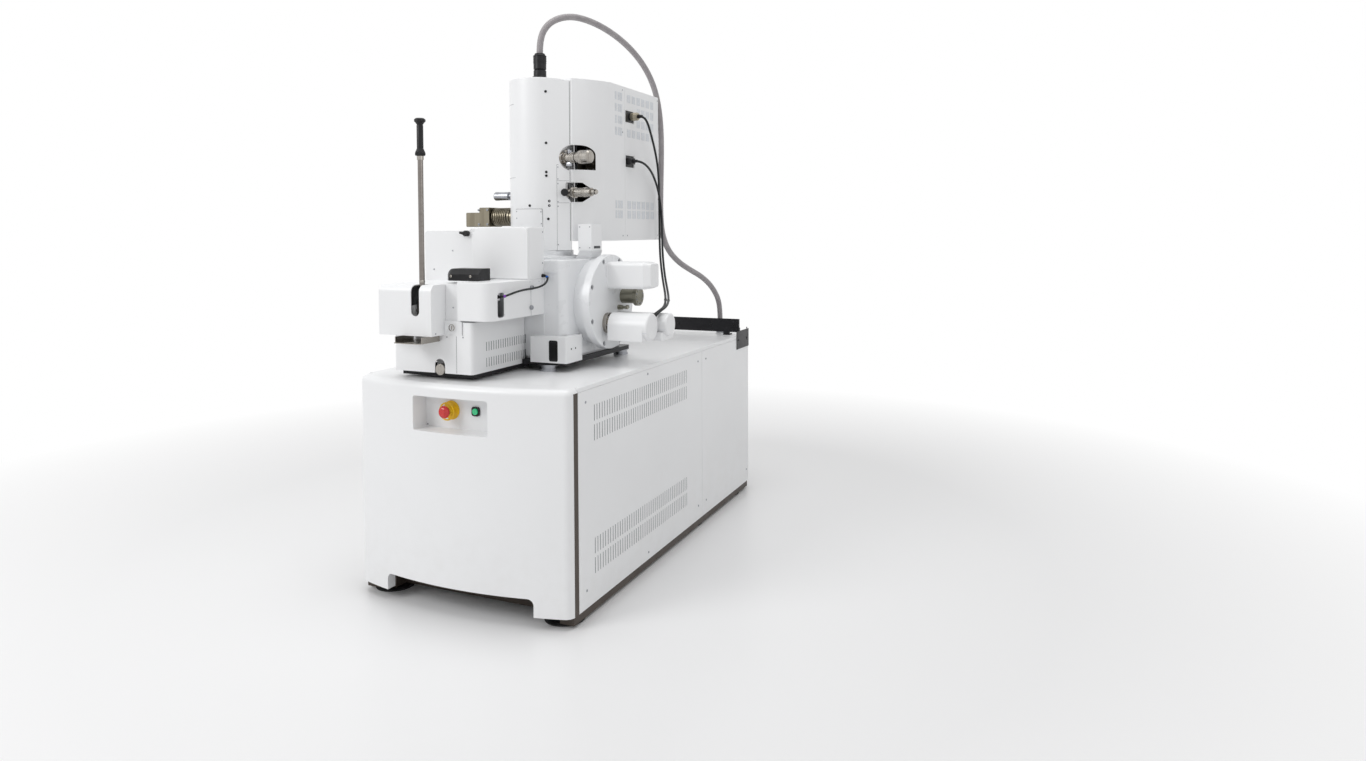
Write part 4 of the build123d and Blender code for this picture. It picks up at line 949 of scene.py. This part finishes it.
def solidPiece(name, outline, low, high, axis="z"):
    # a closed prism: its outline is in x and y, or in x and z when it runs along y
    bm = bmesh.new()
    ends = [[(a, b, level) if axis == "z" else (a, level, b) for a, b in outline] for level in (low, high)]
    closedPrism(bm, *ends)
    bmesh.ops.recalc_face_normals(bm, faces=bm.faces[:])
    mesh = bpy.data.meshes.new(name)
    bm.to_mesh(mesh)
    bm.free()
    piece = bpy.data.objects.new(name, mesh)
    bpy.context.scene.collection.objects.link(piece)
    return piece


def carved(body, cutters):
    # the body's mesh less the cutters, which are all used up
    for cutter in cutters:
        carve = body.modifiers.new(cutter.name, "BOOLEAN")
        carve.operation = "DIFFERENCE"
        carve.solver = "EXACT"
        carve.object = cutter
    bm = bmesh.new()
    graph = bpy.context.evaluated_depsgraph_get()
    bm.from_mesh(bpy.data.meshes.new_from_object(body.evaluated_get(graph)))
    bmesh.ops.remove_doubles(bm, verts=bm.verts[:], dist=0.00001)
    for spare in [body] + cutters:
        bpy.data.objects.remove(spare)
    return bm


def roundColumn(reach, start, end, steps=48):
    angles = [start + (end - start) * step / steps for step in range(steps + 1)]
    return [onColumn(angle, reach, 0)[:2] for angle in angles]


def makeBoxFront(values):
    wall, seam, face = values["wall"], values["seam"], values["face"]
    (left, leftEnd), low, high = values["left"], values["low"], values["high"]
    hug = columnRadius + values["gap"]
    outer = values["arc"] + roundColumn(hug, *values["turns"]) + [(left, leftEnd), (left, seam), (face, seam)]
    inner = values["innerArc"] + roundColumn(hug + wall, *values["innerTurns"])
    inner += [(left + wall, leftEnd + 2.6), (left + wall, seam + 20), (face - wall, seam + 20)]
    near = values["inner"]
    window, slot = values["window"], values["slot"]
    corner = window["round"]
    middle = (window["right"] - corner, window["high"] - corner)
    turns = [math.radians(turn) for turn in range(0, 91, 9)]
    windowOutline = [(near, window["low"]), (near, window["high"])]
    windowOutline += [(middle[0] + corner * math.sin(turn), middle[1] + corner * math.cos(turn))
                      for turn in turns]
    windowOutline.append((window["right"], window["low"]))
    edge, cut = slot["right"], slot["cut"]
    slotOutline = [(near, slot["low"]), (near, slot["high"]), (edge - cut, slot["high"]),
                   (edge, slot["high"] - cut), (edge, slot["low"] + cut), (edge - cut, slot["low"])]
    bm = carved(solidPiece("shell", outer, low, high), [
        solidPiece("hollow", inner, low + wall, high - wall),
        solidPiece("window", windowOutline, *values["cutDepth"], "y"),
        solidPiece("slot", slotOutline, *values["cutDepth"], "y"),
    ])
    block(bm, *values["leg"], 1)
    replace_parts(addPiece("hv_box_front", bm, "cover_white"), "hv_box")


makeBoxFront(boxFront)


# right side of the column's cover: a flat that runs back to the high-voltage box, open for the two drives

columnFlat = {
    "start": -51,
    "lead": 6,
    "reach": 110.3,
    "corner": (84.2, -291),
    "end": (86.3, -289.4),
    "back": (56, -284.8),
    "low": 1121.6,
    "high": 1722,
    "upper": {"middle": 90, "right": 100, "z": 1449, "wide": 36, "tall": 46},
    "lower": [(71, 1316), (71, 1362), (100, 1362), (100, 1292), (86, 1292)],
    "cutDepth": (-345, -265),
    "seams": [(42.4, 43.2, 1122, 1425), (43.2, 49, 1424.2, 1425), (43.2, 86, 1367.6, 1368.4),
              (43.2, 86, 1289.6, 1290.4), (88.9, 90.5, 1155, 1291), (88.9, 90.5, 1363, 1402),
              (88.9, 90.5, 1496, 1719)],
    "seamSeat": 0.12,
    "screws": [(46.5, 1416), (46.5, 1374), (46.5, 1358), (46.5, 1294), (46.5, 1278), (46.5, 1142)],
}


def makeColumnFlat(values):
    start, lead, reach, corner = values["start"], values["lead"], values["reach"], values["corner"]
    first = onColumn(start, reach, 0)[:2]
    outline = roundColumn(reach - 0.15, start - lead, start - 2, 2)
    outline += [first, corner, values["end"], values["back"]]
    outline += roundColumn(columnRadius + 0.05, -12, start - lead, 12)
    upper = values["upper"]
    turns = [math.radians(turn) for turn in range(90, 271, 10)]
    window = [(upper["middle"] + upper["wide"] * math.cos(turn), upper["z"] + upper["tall"] * math.sin(turn))
              for turn in turns]
    window += [(upper["right"], upper["z"] - upper["tall"]), (upper["right"], upper["z"] + upper["tall"])]
    bm = carved(solidPiece("flat", outline, values["low"], values["high"]), [
        solidPiece("upper", window, *values["cutDepth"], "y"),
        solidPiece("lower", values["lower"], *values["cutDepth"], "y"),
    ])
    addPiece("column_flat", bm, "cover_white")
    run = (Vector(corner) - Vector(first)).normalized()
    out = Vector((run.y, -run.x))
    # dark seam strips: painted shade in the gaps between the flat's plates and at its end by the box
    bm = bmesh.new()
    for near, far, low, high in values["seams"]:
        seat = Vector(first) + out * values["seamSeat"]
        corners = ((near, low), (far, low), (far, high), (near, high))
        bm.faces.new([bm.verts.new(at(*(seat + run * along), z)) for along, z in corners])
    addPiece("column_flat_seams", bm, "cover_white", material=seamShade)
    screws("column_flat_screws", [((*(Vector(first) + run * along), z), (out.x, out.y, 0), 2.2, 1.0)
                                  for along, z in values["screws"]])


makeColumnFlat(columnFlat)


# junction box: a slot painted dark for the shade inside it, and screws

blocksPiece("junction_slot", [((176.6, -290, 1128), (177.25, -244, 1137), 0.2)], "plate_black", seamShade)
screws("junction_screws", [((x, -305, z), front, 2.2, 1.0) for x in (129, 169) for z in (1131, 1204)])
print("high-voltage box dressed")


# exchange module: screws, thumb screws, latch, seams, machinery in the slot

moduleTrim = {
    "small": [
        ((84, -476.8, 1186.8), right, 2.4, 1.0), ((84, -478.6, 1082.5), right, 2.4, 1.0),
        ((82.6, -555.9, 1022.7), right, 2.0, 1.6), ((82.6, -501.4, 1021.4), right, 2.0, 1.6),
        ((-221, -563, 1124.9), front, 2.6, 1.0), ((-300, -563, 1060), front, 2.6, 1.0),
        ((-98, -810, 871), right, 2.4, 1.0), ((-98, -640, 871), right, 2.4, 1.0),
        ((-304, -800, 880), left, 2.4, 1.0), ((-304, -500, 880), left, 2.4, 1.0),
        ((-86, -770, 857.7), front, 2.4, 1.0), ((-24.6, -770, 858.9), front, 2.4, 1.0),
        ((-286, -770, 857), front, 2.4, 1.0), ((-57.1, -774, 951.7), front, 2.6, 1.0),
    ],
    "latch": [((-118, -704, 1046), front, 4.4, 3.2), ((-42, -704, 1046), front, 4.4, 3.2)],
    "thumb": [(84, -550, 1004), (82.4, -551.4, 938.3)],
    "thumbShape": [
        (ridges(7.4, 0.2, 7.5), 36),
        ([(7.5, 0), (7.5, 4.4), (9.6, 4.0), (9.6, 2.4, "hex"), (8.6, 2.4, "hex"), (8.6, 0)], 24),
    ],
    "seams": [
        ((-92, -563.5, 1027.6), (60, -562.9, 1030.8), 0), ((-50.2, -770.4, 744), (-49.4, -769.9, 862), 0),
        ((-246, -770.3, 836), (-216, -769.8, 844), 0.2), ((82.5, -549.4, 912), (82.8, -548.6, 998), 0),
    ],
    "guidePin": (-92.8, -563, 1029.5),
    "lock": (-63.9, -774, 888.4),
    "lockBar": ((-65.2, -776.2, 882), (-62.6, -773.8, 895)),
}
slotMachinery = {
    "blocks": [((46, -734, 924), (54, -706, 994), 1), ((54, -732, 926), (63, -722, 962), 0.8),
               ((54, -716, 940), (60, -708, 990), 0.8)],
    "rollers": [(54, -714, 934), (54, -714, 950), (54, -714, 972)],
    "roller": [(0, 0), (0, 5.2), (6, 5.2), (7, 4.2), (7, 0)],
    "bolts": [((63, -727, 932), right, 2.6, 2), ((63, -727, 955), right, 2.6, 2),
              ((60, -712, 982), right, 2.4, 2)],
}
leadRings = {
    "profile": [(-3.5, 3.3), (-3.5, 4.2), (-2.8, 4.6), (2.8, 4.6), (3.5, 4.2), (3.5, 3.3)],
    "rows": [("lead_ring_a", 26, purpleRing), ("lead_ring_b", -22, blueRing)],
}


def makeModuleTrim(values):
    screws("module_screws", values["small"])
    screws("latch_screws", values["latch"], "bright_steel")
    bm = bmesh.new()
    for place in values["thumb"]:
        for profile, sides in values["thumbShape"]:
            turned(bm, place, right, profile, sides)
    addPiece("thumb_screws", bm, "satin_steel")
    # the seams are painted dark for the shade in the gaps between the module's covers
    blocksPiece("module_seams", values["seams"], "plate_black", seamShade)
    bm = bmesh.new()
    turned(bm, values["guidePin"], front, ridges(4.2, 0.2, 3.6), 24)
    turned(bm, values["lock"], front, [(0, 9.4), (0, 11), (2.2, 11), (3, 10), (3, 9.4)], 48)
    block(bm, *values["lockBar"], 0.4)
    addPiece("module_fittings", bm, "bright_steel")


def makeSlotMachinery(values):
    # guide block, rollers and bolts seen through the cover's cable slot
    bm = bmesh.new()
    for low, high, soften in values["blocks"]:
        block(bm, low, high, soften)
    for place in values["rollers"]:
        turned(bm, place, right, values["roller"], 32)
    addPiece("slot_guide", bm, "port_khaki")
    screws("slot_bolts", values["bolts"])


def ringOn(bm, line, index, profile, sides):
    turned(bm, line[index], line[index + 2] - line[index - 2], profile, sides, False)


def makeLeadRings(points, values):
    line = routeLine(points, 0.001)
    for name, index, material in values["rows"]:
        bm = bmesh.new()
        ringOn(bm, line, index % len(line), values["profile"], 28)
        addPiece(name, bm, "cable_black", material=material)


slotRows = {
    "module": {"faces": [10], "start": -697, "count": 19, "pitch": 13, "wide": 3.4, "tall": 29,
               "lows": [758, 809]},
    "cabinet": {"faces": [365, -435], "start": -637, "count": 44, "pitch": 17, "wide": 4, "tall": 50,
                "lows": [125, 187, 541, 603]},
}
rearSlots = {"face": 840, "lefts": [-275, 5], "wide": 200, "low": 200, "pitch": 24, "count": 12, "tall": 8}
shadeDepth = (0.7, 2.6)


def makeSlotShades(rows, grille, depth):
    # painted shade: dark blocks sit in the air slots, a little behind the painted face, for the shade seen
    # inside them
    blocks = []
    for row in rows.values():
        for face in row["faces"]:
            side = 1 if face > 0 else -1
            x0, x1 = sorted(face - side * inset for inset in depth)
            for low in row["lows"]:
                for slot in range(row["count"]):
                    y = row["start"] + slot * row["pitch"]
                    blocks.append(((x0, y, low), (x1, y + row["wide"], low + row["tall"]), 0))
    y0, y1 = grille["face"] - depth[1], grille["face"] - depth[0]
    for x in grille["lefts"]:
        for slot in range(grille["count"]):
            z = grille["low"] + slot * grille["pitch"]
            blocks.append(((x, y0, z), (x + grille["wide"], y1, z + grille["tall"]), 0))
    blocksPiece("slot_shades", blocks, "plate_black", slotShade)


towerFront = {
    "outline": [(-138, 1032), (83, 1032), (83, 1190), (70, 1203.4), (-112, 1203.4), (-138, 1178)],
    "depth": (-567.4, -562.6),
    "soften": 0.003,
}


def makeTowerStep(values):
    # the front cover of the tower stands proud of its wing
    bm = bmesh.new()
    near = closedPrism(bm, *[[(x, y, z) for x, z in values["outline"]] for y in values["depth"]])
    bmesh.ops.recalc_face_normals(bm, faces=bm.faces[:])
    edges = [edge for edge in bm.edges if all(vert in near for vert in edge.verts)]
    bmesh.ops.bevel(bm, geom=edges, offset=values["soften"], segments=4, affect="EDGES", profile=0.5)
    addPiece("tower_front", bm, "cover_white")


makeModuleTrim(moduleTrim)
makeSlotShades(slotRows, rearSlots, shadeDepth)
makeTowerStep(towerFront)
makeSlotMachinery(slotMachinery)
makeLeadRings(cords["module_lead"]["points"], leadRings)


# swing rod: grip and collars ride on the rod

rodTrim = {
    "foot": (-160, -795, 0),
    "grip": [([(1440, 9), (1441, 10.2), (1521, 10.2), (1523, 9)], 36), (ridges(16.0, 1429, 1437), 60)],
    "collars": [
        ([(1414, 8.2), (1414, 10.6), (1426, 10.6), (1427, 9.6), (1427, 8.2)], 36),
        ([(1030, 8.2), (1030, 9.3), (1036, 9.3), (1037, 8.2)], 36),
    ],
}


def makeRodTrim(values):
    lathePiece("rod_grip", values["foot"], up, values["grip"], "knob_black", "swing_rod")
    lathePiece("rod_collars", values["foot"], up, values["collars"], "bright_steel", "swing_rod")


def makeBaseKnob():
    low, high = spanOf("base_knob")
    base = ((low.x + high.x) / 2, low.y, (low.z + high.z) / 2)
    reach = (high.z - low.z) / 2
    bm = bmesh.new()
    turned(bm, base, rear, ridges(reach + 0.6, 2, 11), 48)
    turned(bm, base, front, [(0, 0), (0, reach * 0.7), (0.8, reach * 0.66), (0.8, 3.4, "hex"),
                             (0.2, 3.4, "hex"), (0.2, 0)], 24)
    addPiece("base_knob_grip", bm, "bright_steel", "module_knob")


makeRodTrim(rodTrim)
makeBaseKnob()
print("exchange module dressed")


# chamber: port bolts, collar screws, pipe fitting, skirt dots, detector seams, cable ties

chamberTrim = {
    "blank": (300, -178, 955),
    "blankCap": [(0, 0), (0, 6), (1.2, 5), (1.2, 2.4), (0.4, 0)],
    "blankBolts": boltCircle((299.8, -178, 955), (26, 26), 8, 22.5, 2.9, 2.2),
    "collarBolts": boltCircle((246.6, -300, 869), (31, 31), 6, 10, 2.6, 1.8)
    + boltCircle((233, -257, 1035), (56, 40), 4, 45, 3.4, 3.0),
    "pipe": (233, -214, 917),
    "pipeRun": [(0, 0), (0, 9), (8, 9), (8, 7.4, "hex"), (17, 7.4, "hex"), (17, 5), (30, 5), (30, 6.6),
                (38, 6.6), (38, 0)],
    "branch": (259, -214, 917),
    "branchRun": [(0, 0), (0, 4.4), (16, 4.4), (16, 6.2, "hex"), (24, 6.2, "hex"), (24, 0)],
    "dots": [((188, -470.5, 796), right, 3.0, 0.8), ((188, -442.7, 795.9), right, 3.0, 0.8)],
    "detectors": [(-300, 861, 47, 404), (-205, 861, 40, 431)],
    "seamTurns": (-158, -22),
    "seamStart": 264,
}


def makeChamberTrim(values):
    screws("blank_bolts", values["blankBolts"])
    bm = bmesh.new()
    turned(bm, values["blank"], right, values["blankCap"], 32)
    turned(bm, values["pipe"], right, values["pipeRun"], 36)
    turned(bm, values["branch"], rear, values["branchRun"], 36)
    addPiece("port_fitting", bm, "port_khaki")
    screws("collar_screws", values["collarBolts"])
    screws("skirt_dots", values["dots"], "knob_black")
    blocks = []
    for y, z, reach, far in values["detectors"]:
        for turn in values["seamTurns"]:
            angle = math.radians(turn)
            edge = (y + reach * math.cos(angle), z + reach * math.sin(angle))
            blocks.append(((values["seamStart"], edge[0] - 0.5, edge[1] - 0.6),
                           (far, edge[0] + 0.5, edge[1] + 0.6), 0.3))
    # the detector seams are painted darker for the shade in their gaps
    blocksPiece("detector_seams", blocks, "cover_white", paintedVentShade)


ties = {
    "spots": [("cable_a", 0.34), ("cable_b", 0.31), ("cable_a", 0.83), ("cable_b", 0.83)],
    "profile": collar(-2.4, 2.4, 4.1, 5.4),
}


def makeTies(routes, values):
    bm = bmesh.new()
    for name, share in values["spots"]:
        line = routeLine(routes[name]["points"], 0.001)
        ringOn(bm, line, int(len(line) * share), values["profile"], 24)
    addPiece("cable_ties", bm, "knob_black")


makeChamberTrim(chamberTrim)
makeTies(cords, ties)


# cabinet: panel fasteners, rail bolts, foot ribs, stop rim and cap, plate screws

cabinetTrim = {
    "face": 365,
    "fasteners": [(-690, 90), (-690, 670), (-250, 690), (-250, 60), (215, 90), (215, 670), (300, 90),
                  (300, 670), (800, 90), (800, 670)],
    "railBolts": [((x, 700, 764), front, 5.0, 3.4) for x in (-250, -90, 70, 230, 340)]
    + [((368, y, z), right, 4.0, 2.0) for y in (690, 800) for z in (700, 745)],
    "feet": [(x, y) for x in (-365, 295) for y in (-704, 257, 704)],
    "footRibs": [collar(1.2, 2.4, 61, 63.4), collar(3.6, 4.8, 61, 63.4)],
    "stopRim": [(0, 24), (0, 29), (1.0, 29), (1.6, 28), (1.6, 25), (1.0, 24)],
    "stopCap": [(-0.5, 0), (-0.5, 11), (0.5, 10.4), (0.5, 8.6), (0, 8), (0, 0)],
    "plateInset": 9,
}


def makeCabinetTrim(values):
    screws("panel_fasteners", [((values["face"], y, z), right, 4.2, 1.2) for y, z in values["fasteners"]])
    screws("rail_bolts", values["railBolts"], "knob_black")
    bm = bmesh.new()
    for x, y in values["feet"]:
        for profile in values["footRibs"]:
            turned(bm, (x, y, 0), up, profile, 72)
    addPiece("pad_ribs", bm, "pad_black")
    low, high = spanOf("stop_base")
    x, z = (low.x + high.x) / 2, (low.z + high.z) / 2
    lathePiece("stop_rim", (x, low.y, z), front, [(values["stopRim"], 64)], "stop_yellow")
    face = spanOf("stop_head")[0].y
    lathePiece("stop_cap", (x, face, z), front, [(values["stopCap"], 48)], "stop_red", "stop_button")
    low, high = spanOf("control_plate")
    inset = values["plateInset"]
    screws("plate_screws", [((x, low.y, z), front, 2.4, 0.9) for x in (low.x + inset, high.x - inset)
                            for z in (low.z + inset, high.z - inset)])


makeCabinetTrim(cabinetTrim)
print("cabinet dressed")


# floor, backdrop and light

studio = {
    "floor": (0.86, 0.86, 0.865),
    "white": (1, 1, 1),
    "clearRadius": (1.7, 3.4),
    "ambient": 0.55,
    "lamps": [
        {"name": "keyPanel", "place": (-2.6, -4.2, 3.6), "size": 2.6, "power": 96},
        {"name": "topPanel", "place": (0.4, -0.6, 5.0), "size": 3.2, "power": 62},
        {"name": "sidePanel", "place": (4.4, -1.6, 2.4), "size": 2.4, "power": 14},
    ],
}


def makeStudio(values):
    mesh = bpy.data.meshes.new("floor")
    reach = 40
    corners = [(-reach, -reach, 0), (reach, -reach, 0), (reach, reach, 0), (-reach, reach, 0)]
    mesh.from_pydata(corners, [], [(0, 1, 2, 3)])
    floor = bpy.data.objects.new("floor", mesh)
    bpy.context.scene.collection.objects.link(floor)
    made = Finish("floorFinish")
    made.surface(Base_Color=values["floor"], Roughness=0.32)
    distance = made.node("VectorMath", {"operation": "LENGTH"}, {0: made.place()})
    seen = made.node("LightPath", None, None, 0) + made.node("LightPath", None, None, 3)
    away = made.band(distance, *values["clearRadius"])
    glow = made.node("Emission", None, {"Color": values["white"], "Strength": 1.0})
    mix = made.node("MixShader", None, {0: away * made.band(seen, 0, 1)})
    made.tree.links.new(made.shader.outputs[0], mix.out.node.inputs[1])
    made.tree.links.new(glow.out, mix.out.node.inputs[2])
    made.tree.links.new(mix.out, made.tree.nodes["Material Output"].inputs["Surface"])
    mesh.materials.append(made.material)
    sky = Finish("studioSky", "world")
    bpy.context.scene.world = sky.material
    background = sky.tree.nodes["Background"]
    background.inputs["Color"].default_value = (1, 1, 1, 1)
    path = [sky.node("LightPath", None, None, output) for output in (0, 3, 6)]
    shown = sky.band(path[0] + path[1] + path[2], 0, 1)
    level = shown * (1 - values["ambient"]) + values["ambient"]
    sky.tree.links.new(level.out, background.inputs["Strength"])
    for lamp in values["lamps"]:
        data = bpy.data.lights.new(lamp["name"], "AREA")
        data.shape = "DISK"
        data.size = lamp["size"]
        data.energy = lamp["power"]
        light = bpy.data.objects.new(lamp["name"], data)
        bpy.context.scene.collection.objects.link(light)
        light.location = lamp["place"]
        aim = Vector((0, -0.2, 1.0)) - Vector(lamp["place"])
        light.rotation_euler = aim.to_track_quat("-Z", "Y").to_euler()
    bpy.context.scene.view_settings.view_transform = "Standard"


makeStudio(studio)
print("studio lit")
